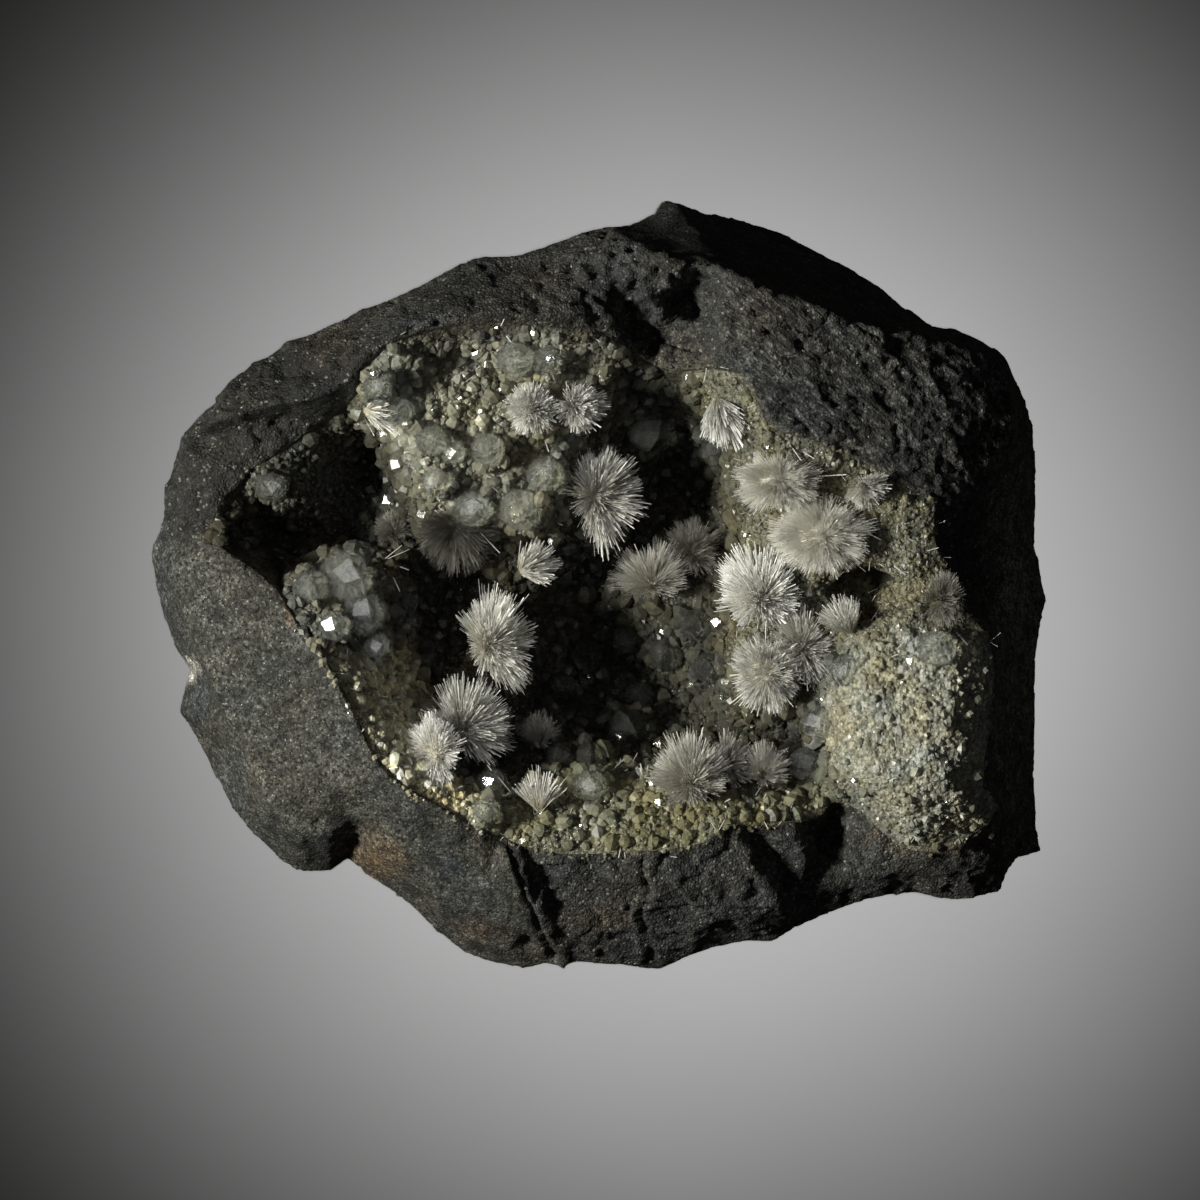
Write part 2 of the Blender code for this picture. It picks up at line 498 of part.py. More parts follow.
def make_crust(rim, crust_top, crust_bottom, net, material):
    """The analcime lining as one shell that follows the socket."""
    edge = rim.copy()
    edge[:, 2] -= CRUST_EDGE
    upper = np.concatenate([rim, crust_top])
    lower = np.concatenate([edge, crust_bottom])
    count = len(upper)
    faces = [tuple(face) for face in net] + [tuple(v + count for v in face[::-1]) for face in net]
    faces += band(count, 0, len(rim))
    return mesh_object("analcime_crust", np.concatenate([upper, lower]), faces, material)


def analcime_shape(shape, centre, radius, turn, lean):
    """One trapezohedron, the 24-faced form of analcime, added to a bmesh."""
    directions = {tuple(s * v for s, v in zip(signs, order))
                  for order in set(permutations((1, 1, 2))) for signs in product((1, -1), repeat=3)}
    normals = np.array(sorted(directions), float) / math.sqrt(6)
    tips = [np.array(t, float) for t in product((-1, 0, 1), repeat=3) if any(t)]
    corners = [t / max(normals @ t) for t in tips]
    spun = lean.to_track_quat("Z", "Y").to_matrix()
    cos, sin = math.cos(turn), math.sin(turn)
    verts = []
    for x, y, z in corners:
        local = Vector((cos * x - sin * y, sin * x + cos * y, z)) * radius
        verts.append(shape.verts.new(centre + spun @ local))
    bmesh.ops.convex_hull(shape, input=verts)


def tree_of(objects):
    """One search tree over several objects' meshes."""
    points, faces = [], []
    for item in objects:
        start = len(points)
        points += [v.co.copy() for v in item.data.vertices]
        faces += [[start + v for v in face.vertices] for face in item.data.polygons]
    return BVHTree.FromPolygons(points, faces)


def on_surface(tree, x, y):
    """Where a plan point meets the front, and the surface's direction there."""
    spot = plan(x, y)
    hit, normal = tree.ray_cast(Vector((spot[0], spot[1], 1)), Vector((0, 0, -1)))[:2]
    return hit, (normal if normal.z > 0 else -normal)


def add_analcimes(crust, stone):
    """The larger crystals, grown into the crust and kept clear of the rock."""
    tree, rock = tree_of([crust]), tree_of([stone])
    shape = bmesh.new()
    for x, y, radius, turn in ANALCIMES:
        radius *= MM
        spot, normal = on_surface(tree, x, y)
        lean = (normal + Vector((0, 0, 0.8))).normalized()
        centre = spot + lean * radius * CRYSTAL_STANDS_OUT
        while rock.find_nearest(centre)[3] < radius * CRYSTAL_REACH + GAP:
            centre += lean * 0.1 * MM
        analcime_shape(shape, centre, radius, math.radians(turn), lean)
    mesh = bpy.data.meshes.new("analcime_crystals")
    shape.to_mesh(mesh)
    shape.free()
    crystals = bpy.data.objects.new("analcime_crystals", mesh)
    bpy.context.scene.collection.objects.link(crystals)
    crystals.hide_render = True
    crystals.display_type = "WIRE"
    step = crust.modifiers.new("grown_on", "BOOLEAN")
    step.operation = "UNION"
    step.object = crystals
    step.use_self = True
    bpy.context.view_layer.update()


def spray_directions(count, half_angle, rng):
    """Unit directions around +Z: most inside the cone, a few behind it."""
    golden = math.pi * (3 - math.sqrt(5))
    front = int(count * 0.72)
    found = []
    for i in range(front):
        polar = math.radians(half_angle) * math.sqrt((i + 0.5) / front)
        turn = i * golden + rng.uniform(-0.2, 0.2)
        found.append((polar, turn))
    for i in range(count - front):
        polar = math.radians(half_angle) + (math.pi - math.radians(half_angle)) * (i + 0.7) / (count - front)
        found.append((min(polar, math.pi * 0.97), i * 2.1))
    return [Vector((math.sin(p) * math.cos(t), math.sin(p) * math.sin(t), math.cos(p))) for p, t in found]


def make_spray(entry, tree, material, seed):
    """One spray as a closed spiny solid: spikes in a cone from its root, stopped short of what is around."""
    name, x, y, lift, length, turn, tilt, half_angle = entry
    rng = random.Random(seed)
    spot, normal = on_surface(tree, x, y)
    root = spot + normal * (lift * MM + 2 * GAP)
    turn, tilt = math.radians(turn), math.radians(tilt)
    axis = Vector((math.cos(turn) * math.cos(tilt), math.sin(turn) * math.cos(tilt), math.sin(tilt)))
    spin = axis.to_track_quat("Z", "Y").to_matrix()
    shape = bmesh.new()
    for direction in spray_directions(11 + int(half_angle / 12), half_angle, rng):
        shape.verts.new(direction)
    bmesh.ops.convex_hull(shape, input=shape.verts)
    spikes = set(bmesh.ops.poke(shape, faces=shape.faces)["verts"])
    shape.verts.index_update()
    reaches = {}
    for vert in shape.verts:
        vert.co.normalize()
        off_axis = math.degrees(vert.co.angle(Vector((0, 0, 1))))
        reach = length * MM * (rng.uniform(0.86, 1.0) if vert in spikes else 0.52)
        reach *= 1 if off_axis < half_angle else 0.28
        direction = spin @ vert.co
        hit, _, _, away = tree.ray_cast(root, direction)
        if hit is not None:
            reach = min(reach, max(away - 1.6 * GAP, 0.3 * away))
        reaches[vert.index] = (direction, reach)
    faces = [[v.index for v in face.verts] for face in shape.faces]
    shape.free()
    drawn_in(root, reaches, faces, tree)
    points = [root + reaches[i][0] * reaches[i][1] for i in range(len(reaches))]
    return mesh_object(name, points, faces, material)


def drawn_in(root, reaches, faces, tree):
    """Shorten the spikes of every face that comes closer than the gap to what is around."""
    for _ in range(40):
        points = [root + direction * (reach + GAP) for direction, reach in
                  (reaches[i] for i in range(len(reaches)))]
        touching = {face for face, _ in BVHTree.FromPolygons(points, faces).overlap(tree)}
        if not touching:
            return
        for vert in {v for face in touching for v in faces[face]}:
            direction, reach = reaches[vert]
            reaches[vert] = (direction, reach * 0.85)


def principled(name, colour, roughness, transmission=0.0):
    material = bpy.data.materials.new(name)
    material.use_nodes = True
    shader = material.node_tree.nodes["Principled BSDF"]
    shader.inputs["Base Color"].default_value = colour
    shader.inputs["Roughness"].default_value = roughness
    shader.inputs["Transmission Weight"].default_value = transmission
    material.diffuse_color = colour
    return material


def main():
    for old in list(bpy.data.objects):
        bpy.data.objects.remove(old)
    basalt = principled("basalt", BASALT_COLOUR, 0.8)
    analcime = principled("analcime", ANALCIME_COLOUR, 0.25, 0.3)
    natrolite = principled("natrolite", NATROLITE_COLOUR, 0.3)

    outline = placed(OUTLINE)
    rim = resampled(placed(RIM), RIM_STEP * UNIT)
    vug = VugSurface(rim)
    spots = vug_points(rim)
    rough = np.array([bumps((x, y, 0), 0.0045, 7) for x, y in spots]) * CRUST_ROUGHNESS
    net_points = np.concatenate([rim[:, :2], spots])
    net = triangles(net_points, loop_edges(0, len(rim)), lambda c: inside(c, rim))
    crust_top = np.column_stack([spots, vug.heights(spots) + rough])
    underside = vug.lowered(spots, CRUST_THICKNESS, rim)
    floor = np.minimum(vug.lowered(spots, CRUST_THICKNESS + GAP, rim), underside - GAP)
    crust_bottom = np.column_stack([spots, underside + rough])
    socket = np.column_stack([spots, floor + rough])

    stone = make_stone(outline, rim, socket, net, basalt)
    crust = make_crust(rim, crust_top, crust_bottom, net, analcime)
    add_analcimes(crust, stone)
    graph = bpy.context.evaluated_depsgraph_get()
    grown = bpy.data.meshes.new_from_object(crust.evaluated_get(graph))
    crust.modifiers.clear()
    crust.data = grown
    around = [stone, crust]
    for number, entry in enumerate(SPRAYS):
        around.append(make_spray(entry, tree_of(around), natrolite, number))


main()
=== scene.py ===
"""Natrolite with analcime: the finish of a basalt piece whose open vug holds analcime and natrolite.

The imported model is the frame. Each piece here is built on the solids that carry it, in metres, with +X to
the right, +Y towards the top of the photograph and +Z out of the face that holds the vug. Places that were
read off the face are given in plan units: x to the right and y down, as in the part's own source.
"""

import math
from itertools import product

import bmesh
import bpy
import numpy as np
from bpy.props import FloatProperty, FloatVectorProperty, PointerProperty
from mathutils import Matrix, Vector
from mathutils.bvhtree import BVHTree


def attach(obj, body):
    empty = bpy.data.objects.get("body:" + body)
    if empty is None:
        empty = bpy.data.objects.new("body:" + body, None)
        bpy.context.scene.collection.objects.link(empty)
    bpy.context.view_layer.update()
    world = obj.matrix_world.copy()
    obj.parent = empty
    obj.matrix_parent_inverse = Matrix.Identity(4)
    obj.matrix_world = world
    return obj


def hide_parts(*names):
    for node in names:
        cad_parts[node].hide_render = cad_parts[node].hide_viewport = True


bl_info = {
    "name": "Natrolite with analcime",
    "version": (1, 0, 0),
    "blender": (4, 5, 0),
    "location": "3D View > Sidebar > Specimen",
    "description": "Finishes a basalt vug with analcime crystals and natrolite needles",
    "category": "Add Mesh",
}

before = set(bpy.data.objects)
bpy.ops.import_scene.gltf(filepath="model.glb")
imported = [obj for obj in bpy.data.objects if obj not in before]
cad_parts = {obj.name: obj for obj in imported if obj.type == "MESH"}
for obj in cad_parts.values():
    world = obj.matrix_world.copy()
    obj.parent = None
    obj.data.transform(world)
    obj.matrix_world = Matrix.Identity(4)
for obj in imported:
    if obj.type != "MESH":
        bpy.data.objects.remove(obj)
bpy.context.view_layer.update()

MM = 0.001
UNIT = 0.112 / 898                # one plan unit in metres
PLAN_CENTRE = (600.0, 584.5)
PHOTO_SIDE = 1200                 # the photograph's frame in plan units
WELD = 1e-6
RIM_REACH = 1.6 * MM              # how near the lining the rock counts as its rim
STREAK_TURN = math.radians(37)    # from the streaks of the right-hand face to +X
BASALT_TRIANGLES = 176000
LINING_TRIANGLES = 116000
RIM_CRUST = (0.15, 0.135, 0.09)   # colour of the thin crust on the rock at the rim
HOLE_FLOOR = (0.075, 0.068, 0.06)  # colour of the rock in the lining's open hole
LARGE_SHARE = 0.9                 # a larger crystal's radius beside that of its solid
WHITE_SHARE = 0.15                # how many small crystals are white

# The stage, in metres
SPECIMEN_MIDDLE = Vector((0, 0, 0.03))
KEY_SIZE, KEY_DISTANCE, KEY_COLOUR = 0.16, 0.9, (1.0, 0.985, 0.87)
FILL_SIZE, FILL_PLACE = 0.8, (-0.1, 0.15, 1.2)
UPPER_LEFT = (-0.37, 0.21, 0.8)
NEEDLE_LIGHT_SIZE, CRYSTAL_LIGHT_SIZE = 0.25, 1.0
FLOOR_REACH = 1.5
FLOOR_LIGHT_HEIGHT, FLOOR_LIGHT_SIZE = 3.0, 0.04
FLOOR_LIGHT_AIM, FLOOR_LIGHT_REACH = (678, 625), 780    # in plan units
WORLD_COLOUR, WORLD_STRENGTH = (1.0, 1.0, 0.95, 1), 0.015
SENSOR_WIDTH = 36                 # in millimetres
CAMERA_DATUM = 0.034              # the height at which the camera's frame has the photograph's width

# Areas of the broken faces, as loops in plan units
FACE_AREAS = {
    "smooth": [
        (140, 545), (207, 541), (243, 557), (280, 586), (305, 626), (348, 692), (371, 741), (405, 781),
        (456, 810), (503, 832), (520, 872), (545, 940), (540, 985), (430, 960), (310, 900), (200, 800),
        (160, 700),
    ],
    "dark": [
        (614, 228), (655, 256), (700, 264), (760, 289), (832, 313), (886, 330), (950, 342), (1005, 366),
        (1060, 330), (900, 240), (680, 170), (600, 190),
    ],
    "streaked": [
        (722, 268), (790, 302), (860, 322), (955, 347), (1005, 372), (1012, 436), (975, 482), (948, 498),
        (906, 496), (860, 464), (808, 445), (762, 424), (742, 380), (722, 335),
    ],
    "rough": [
        (165, 435), (250, 420), (330, 405), (330, 440), (270, 470), (228, 500), (205, 540), (150, 540),
    ],
    "ragged": [
        (575, 255), (610, 240), (660, 250), (720, 270), (735, 330), (700, 365), (640, 360), (600, 325),
        (572, 290),
    ],
}

# Areas of the vug lining, as loops in plan units, in the order in which they claim a place
LINING_AREAS = {
    "lip": [
        (350, 356), (358, 326), (400, 308), (470, 296), (560, 300), (630, 316), (650, 350), (604, 350), (560, 336),
        (532, 334), (500, 346), (430, 347), (402, 342), (376, 358),
    ],
    "patch": [
        (835, 655), (860, 640), (900, 626), (935, 630), (990, 640), (995, 700), (988, 760), (1000, 806),
        (960, 850), (900, 850), (862, 812), (840, 797), (832, 770), (816, 740), (820, 700),
    ],
    "ledge": [
        (478, 803), (520, 788), (548, 772), (600, 756), (650, 764), (700, 792), (760, 788), (832, 772),
        (838, 800), (800, 826), (740, 832), (700, 856), (600, 862), (510, 850), (470, 825),
    ],
    "platform": [
        (355, 345), (400, 330), (470, 315), (560, 322), (618, 332), (602, 400), (578, 440), (566, 500),
        (556, 532), (500, 538), (440, 522), (414, 490), (396, 440), (360, 415),
    ],
    "wall": [
        (690, 366), (745, 368), (765, 415), (935, 492), (940, 550), (990, 640), (935, 630), (900, 626),
        (860, 640), (835, 655), (818, 700), (738, 718), (728, 640), (738, 560), (733, 480), (728, 430),
        (695, 395),
    ],
    "cluster": [(285, 590), (318, 556), (372, 556), (408, 600), (408, 640), (384, 662), (330, 652), (298, 622)],
    "crumbs": [
        (318, 640), (405, 642), (425, 690), (440, 762), (490, 800), (480, 832), (428, 802), (384, 770),
        (355, 720), (335, 680),
    ],
    "fragment": [(238, 486), (270, 456), (345, 420), (352, 500), (330, 548), (258, 532)],
    "depths": [(0, 0), (1200, 0), (1200, 1200), (0, 1200)],
}

# Colour of the lining in each area, and how dark its small pits are there, their darkness painted shade
LINING_TONES = {
    # The lip's dark colour is painted shade under the rock that overhangs it
    "lip": ((0.085, 0.083, 0.07), 0.8),
    "patch": ((0.38, 0.38, 0.323), 0.15),
    "ledge": ((0.27, 0.265, 0.185), 0.35),
    "platform": ((0.36, 0.357, 0.29), 0.4),
    "wall": ((0.21, 0.203, 0.150), 1.0),
    "cluster": ((0.21, 0.208, 0.175), 0.4),
    # The crumbs' light colour is painted light, for crumbs that lie in the rim's shadow
    "crumbs": ((0.74, 0.70, 0.53), 0.9),
    "fragment": ((0.095, 0.092, 0.075), 0.9),
    "depths": ((0.052, 0.051, 0.041), 0.5),
}

# Small crystals of each area, in two sizes: spacing, least and greatest radius in mm, share that is clear
LINING_CRYSTALS = {
    "lip": ((3.2, 0.4, 0.8, 0.6), (1.6, 0.15, 0.35, 0.3)),
    "patch": ((3.2, 0.4, 0.7, 0.5), (1.25, 0.15, 0.36, 0.5)),
    "ledge": ((1.7, 0.5, 1.0, 0.7), (0.9, 0.18, 0.42, 0.4)),
    "platform": ((1.5, 0.5, 1.05, 0.75), (0.72, 0.16, 0.42, 0.4)),
    "wall": ((2.8, 0.4, 0.7, 0.4), (0.9, 0.12, 0.28, 0.2)),
    "cluster": ((1.6, 0.5, 0.95, 0.7), (1.0, 0.2, 0.45, 0.5)),
    "crumbs": ((1.3, 0.4, 0.85, 0.2), (0.85, 0.2, 0.48, 0.2)),
    "fragment": ((1.5, 0.3, 0.6, 0.4), (0.9, 0.15, 0.35, 0.3)),
    "depths": ((2.3, 0.75, 1.3, 0.8), (1.6, 0.3, 0.65, 0.6)),
}

# The same for the grains on the rock along the rim, and for the crumbs on its bare slope
RIM_GRAINS = (0.62, 0.12, 0.34, 0.15)
CRUMB_GRAINS = {"medium": (1.3, 0.4, 0.9, 0.1), "fine": (0.7, 0.2, 0.45, 0.2)}

# The bare slope of the rock where crumbs of analcime grow, as a loop in plan units
CRUMB_SLOPE = [
    (300, 625), (345, 640), (400, 640), (420, 690), (436, 750), (470, 795), (440, 805), (400, 775), (365, 725),
    (335, 680),
]

# How strongly the lining is lumped in each area
LINING_LUMPS = {
    "lip": 0.9, "patch": 1.3, "ledge": 1.1, "platform": 0.9, "wall": 0.7, "cluster": 0.7, "crumbs": 2.6,
    "fragment": 1.8, "depths": 0.9,
}

# Where the rock above the lining is bare of crust and grains, as a loop in plan units
BARE_LIP = [
    (330, 270), (700, 270), (700, 352), (640, 345), (560, 328), (470, 322), (400, 336), (366, 352), (340, 400),
]

# The open hole in the lining at the right: centre and radii in plan units
HOLE = (865, 594, 35, 25)

# Cracks of the broken faces: (width in mm, depth in mm, points in plan units)
CRACKS = [
    (0.45, 1.1, [(503, 834), (512, 852), (519, 873), (530, 905), (542, 936), (553, 958)]),
    (0.30, 0.6, [(894, 428), (897, 452), (896, 478), (904, 492)]),
    (0.28, 0.6, [(645, 848), (641, 870), (648, 890), (640, 912), (644, 930)]),
    (0.30, 0.6, [(403, 298), (408, 312), (414, 334)]),
    (0.25, 0.5, [(592, 905), (604, 925), (598, 945)]),
    (0.30, -0.35, [(640, 906), (700, 903), (768, 906)]),
]

# Small pits of the broken faces: (x, y, radius in mm, depth in mm)
PITS = [
    (352, 842, 1.5, 2.0), (527, 945, 1.2, 1.4), (1000, 540, 0.7, 1.2), (318, 822, 0.5, 0.6), (300, 836, 0.4, 0.5),
    (262, 612, 0.45, 0.5), (330, 598, 0.35, 0.4), (246, 742, 0.4, 0.3), (418, 838, 0.5, 0.5), (446, 890, 0.6, 0.5),
    (310, 372, 1.0, 0.8), (284, 372, 0.9, 0.8), (560, 905, 0.5, 0.6), (884, 320, 1.0, 0.8), (866, 318, 0.8, 0.6),
]

# Stains of the broken faces, and patches painted lighter or darker: (x, y, radius across, radius down, share, colour)
STAINS_AND_PAINTED_LIGHT = [
    (322, 352, 34, 26, 0.6, (0.20, 0.155, 0.11)), (372, 858, 34, 30, 0.55, (0.24, 0.16, 0.085)),
    (188, 672, 11, 13, 1.0, (0.75, 0.72, 0.66)), (198, 702, 16, 24, 0.7, (0.05, 0.065, 0.075)),
    (455, 866, 16, 10, 0.7, (0.03, 0.042, 0.055)), (930, 836, 60, 16, 0.8, (0.17, 0.13, 0.08)),
    (478, 930, 26, 16, 0.5, (0.13, 0.085, 0.06)), (545, 285, 34, 20, 0.4, (0.15, 0.12, 0.09)),
    (600, 918, 40, 12, 0.45, (0.16, 0.115, 0.08)), (292, 600, 8, 26, 0.7, (0.28, 0.18, 0.09)),
    (255, 790, 16, 40, 0.3, (0.16, 0.14, 0.11)), (345, 770, 30, 20, 0.3, (0.16, 0.14, 0.11)),
    (160, 600, 16, 90, 0.6, (0.075, 0.085, 0.095)), (225, 800, 20, 60, 0.45, (0.08, 0.088, 0.096)),
    # Of the two patches below, the second is painted light on the shaded right-hand side face
    (998, 725, 14, 90, 0.8, (0.20, 0.20, 0.165)), (1020, 620, 34, 220, 0.9, (0.24, 0.24, 0.20)),
    # The last three patches darken the rock at the upper left, over the left terrace and above the lip
    (290, 372, 130, 56, 0.95, (0.009, 0.009, 0.008)), (230, 470, 70, 46, 0.75, (0.024, 0.024, 0.021)),
    (490, 292, 100, 34, 0.8, (0.028, 0.028, 0.025)),
]

# The larger analcime crystals of the lining, where the solids have them:
# (centre in mm, radius in mm, turn, direction and tilt of its lean in degrees)
LARGE_CRYSTALS = [
    ((-9.90, 9.22, 35.71), 2.7, 12, -80, 22), ((-15.98, 9.40, 36.12), 2.4, 40, -93, 21),
    ((-20.99, 17.88, 41.51), 2.0, 70, -5, 14), ((-13.99, 16.71, 39.77), 2.2, 25, -96, 11),
    ((-20.46, 12.78, 39.61), 1.9, 5, -108, 28), ((-18.27, 16.51, 40.05), 1.7, 50, -5, 14),
    ((-24.84, 21.64, 42.51), 1.7, 15, -148, 38), ((-27.65, 24.54, 45.81), 1.9, 33, -71, 24),
    ((-6.79, 27.73, 42.72), 2.0, 60, -177, 8), ((-10.54, 27.97, 43.16), 2.4, 20, -93, 33),
    ((-6.81, 13.64, 36.45), 2.4, 80, -25, 18), ((-6.29, 7.22, 31.60), 1.1, 10, -71, 26),
    ((6.15, 19.34, 27.93), 2.9, 28, -46, 28), ((-31.72, 1.01, 39.77), 3.4, 45, 78, 39),
    ((-35.98, -0.27, 41.62), 2.3, 9, 98, 24), ((-29.44, -3.55, 39.74), 2.7, 22, -17, 19),
    ((-33.00, -5.17, 44.36), 2.0, 65, 48, 30), ((-25.68, -3.39, 33.69), 2.0, 35, 4, 35),
    ((-21.53, -9.47, 27.24), 1.9, 18, 25, 33), ((-27.76, -7.52, 37.31), 1.7, 55, 5, 23),
    ((-41.03, 12.20, 35.80), 2.0, 30, -81, 26), ((-13.40, -24.67, 38.49), 1.9, 26, 81, 33),
    ((-14.06, -27.97, 44.43), 1.7, 75, 78, 27), ((-23.16, -14.14, 33.12), 1.5, 58, 43, 35),
    ((3.32, -18.08, 25.91), 2.8, 38, 84, 33), ((-1.40, -21.59, 32.99), 2.1, 11, 80, 36),
    ((-5.04, -21.65, 33.31), 1.9, 66, 96, 35), ((-1.26, -25.12, 38.85), 2.2, 31, 91, 31),
    ((4.91, -14.12, 20.46), 2.1, 52, 104, 18), ((-1.63, -8.77, 19.60), 2.4, 7, 6, 13),
    ((2.71, -7.12, 20.40), 2.3, 71, -154, 26), ((-4.78, -13.06, 21.57), 2.0, 44, 24, 15),
    ((8.24, -8.74, 22.37), 2.2, 29, -127, 24), ((12.02, -5.14, 27.47), 2.1, 16, -169, 29),
    ((13.48, -10.51, 27.48), 2.0, 37, -169, 34), ((25.71, -22.36, 35.74), 2.2, 49, 114, 36),
    ((27.07, -17.27, 37.86), 2.2, 68, -169, 39), ((30.44, -10.64, 42.20), 2.0, 24, 151, 39),
    ((41.80, -7.87, 45.84), 2.3, 41, 86, 17), ((38.66, -9.54, 45.0), 0.9, 33, 0, 20),
    ((2.49, -19.14, 28.6), 0.9, 12, 0, 20), ((-28.06, 26.13, 46.9), 0.6, 50, 0, 20),
    ((-6.24, 28.0, 44.9), 0.6, 21, 0, 20),
]

# How high the middle of a larger crystal stands at least, in mm, for the light of the clear faces to reach it
LIT_CRYSTALS = 34.5

# The larger crystals, by their number in the list, whose face mirrors the key light upwards
MIRRORING = (16, 21, 39, 40, 41, 42)

# Natrolite sprays: node, root in mm, length in mm, turn, tilt and half angle in degrees, how wide and high
# it is for its length, how many thick needles, how many fine ones, the size of its matted heart as a share
# of the length, and its look
SPRAYS = [
    ("corner", (-29.4, 21.6, 39.97), 5.4, 0, 35, 46, 0.95, 1.0, 80, 200, 0, "bright"),
    ("platform_left", (-8.4, 21.9, 40.37), 5.8, 200, 66, 94, 0.66, 0.6, 150, 3000, 0.35, "bright"),
    ("platform_right", (-3.3, 22.2, 39.02), 5.8, -20, 42, 80, 0.84, 0.66, 180, 2400, 0.25, "bright"),
    ("hanging", (-0.7, 11.0, 30.2), 7.8, 14, 32, 88, 0.82, 1.02, 240, 4600, 0.25, "white"),
    ("cave_left", (-25.54, 6.15, 26.01), 5.2, 100, 45, 70, 0.6, 0.7, 5, 2200, 0.2, "dim"),
    ("under_platform", (-18.07, 7.4, 33.3), 7.0, -85, 38, 85, 0.8, 0.85, 24, 4200, 0.2, "dim"),
    ("small_fan", (-10.06, 1.6, 31.95), 5.4, 24, 28, 52, 1.0, 0.9, 60, 900, 0, "white"),
    ("left_ball", (-14.0, -7.6, 30.4), 7.6, 34, 34, 86, 0.8, 1.0, 190, 4500, 0.25, "white"),
    ("middle_fan", (6.5, -0.2, 26.47), 6.6, 90, 30, 80, 0.85, 0.95, 40, 2800, 0.15, "hazy"),
    ("middle_back", (11.37, 3.99, 25.84), 5.8, 60, 45, 80, 0.75, 0.8, 4, 2800, 0.25, "dim"),
    ("bright_ball", (20.2, -1.9, 33.66), 7.4, 100, 38, 88, 0.84, 0.98, 500, 4800, 0.3, "bright"),
    ("double_ball_low", (20.9, -11.1, 35.53), 6.2, 215, 66, 92, 0.82, 0.9, 90, 5200, 0.45, "white"),
    ("double_ball_side", (25.2, -8.0, 33.89), 6.8, 35, 48, 88, 0.78, 1.0, 150, 3400, 0.25, "white"),
    ("wall_upper", (22.3, 12.9, 42.83), 6.4, 160, 66, 96, 0.95, 0.64, 24, 6400, 0.42, "cotton"),
    ("wall_lower", (27.7, 6.2, 41.04), 7.1, 200, 68, 98, 1.0, 0.76, 60, 7400, 0.42, "cotton"),
    ("top_right", (14.5, 23.2, 39.90), 6.6, -72, 28, 44, 1.0, 1.0, 190, 1500, 0, "bright"),
    ("rim_tuft", (32.82, 12.2, 44.73), 4.0, -60, 50, 76, 0.9, 0.85, 30, 1400, 0, "white"),
    ("hole_fan", (31.3, -6.2, 39.9), 5.2, 116, 38, 38, 1.0, 1.1, 40, 1200, 0, "white"),
    ("right_rim", (42.34, -1.9, 43.98), 4.2, 20, 60, 85, 0.75, 1.0, 6, 2400, 0.2, "dim"),
    ("low_left_fan", (-17.3, -18.3, 35.6), 7.2, 44, 36, 76, 1.1, 0.98, 260, 3600, 0.15, "white"),
    ("low_left_ball", (-20.4, -21.1, 40.67), 5.6, 150, 60, 92, 0.78, 1.05, 130, 3800, 0.4, "bright"),
    ("low_back", (-7.59, -19.83, 30.27), 4.8, 85, 35, 64, 0.7, 0.9, 8, 1500, 0.15, "dim"),
    ("clear_fan", (-7.6, -28.2, 41.93), 6.2, 88, 25, 44, 1.0, 0.9, 60, 160, 0, "clear"),
    ("needle_tuft", (5.64, -25.03, 39.13), 3.6, 100, 35, 24, 1.0, 1.0, 13, 0, 0, "clear"),
    ("ledge_ball", (11.3, -24.9, 39.0), 7.2, 98, 38, 84, 0.74, 0.95, 190, 4400, 0.25, "hazy"),
    ("ledge_side", (15.52, -22.59, 36.26), 5.2, 35, 45, 74, 0.75, 0.85, 24, 1800, 0.15, "hazy"),
    ("ledge_small", (20.31, -24.06, 37.81), 4.8, 80, 38, 68, 0.75, 0.95, 20, 1800, 0.15, "hazy"),
]

# How light each spray is painted: those deep in the vug or in its shade are painted darker, as painted shade
SPRAY_PAINTED_SHADE = {
    "platform_left": 0.88, "platform_right": 0.88, "hanging": 0.72, "cave_left": 0.5, "under_platform": 0.30,
    "small_fan": 0.82, "middle_fan": 0.6, "middle_back": 0.48, "double_ball_low": 0.76, "double_ball_side": 0.71,
    "wall_upper": 0.82, "wall_lower": 0.82, "top_right": 0.88, "rim_tuft": 0.78, "hole_fan": 0.78,
    "right_rim": 0.62, "low_left_fan": 0.64, "low_back": 0.57, "ledge_ball": 0.62, "ledge_side": 0.54,
    "ledge_small": 0.54,
}

# Finishes of the needles: the colour's setting, how clear they are, and their roughness
NEEDLE_FINISHES = {
    "clear": ("bright_colour", 0.4, 0.08),
    "bright": ("bright_colour", 0.08, 0.12),
    "white": ("white_colour", 0.05, 0.25),
    "hazy": ("hazy_colour", 0.02, 0.4),
    # The dim needles' darker colour is painted shade, for sprays deep in the vug or in its shade
    "dim": ("dim_colour", 0.02, 0.5),
}

# Fine hairs of each look: their width for the hair width, and their least and greatest reach
HAIRS = {
    "clear": (1.1, 0.5, 0.9), "bright": (1.1, 0.5, 0.92), "white": (1.0, 0.5, 0.92),
    "hazy": (0.75, 0.5, 1.0), "dim": (0.75, 0.5, 1.0), "cotton": (0.6, 0.65, 0.98),
}
NEEDLE_REACH = (0.75, 1.05)

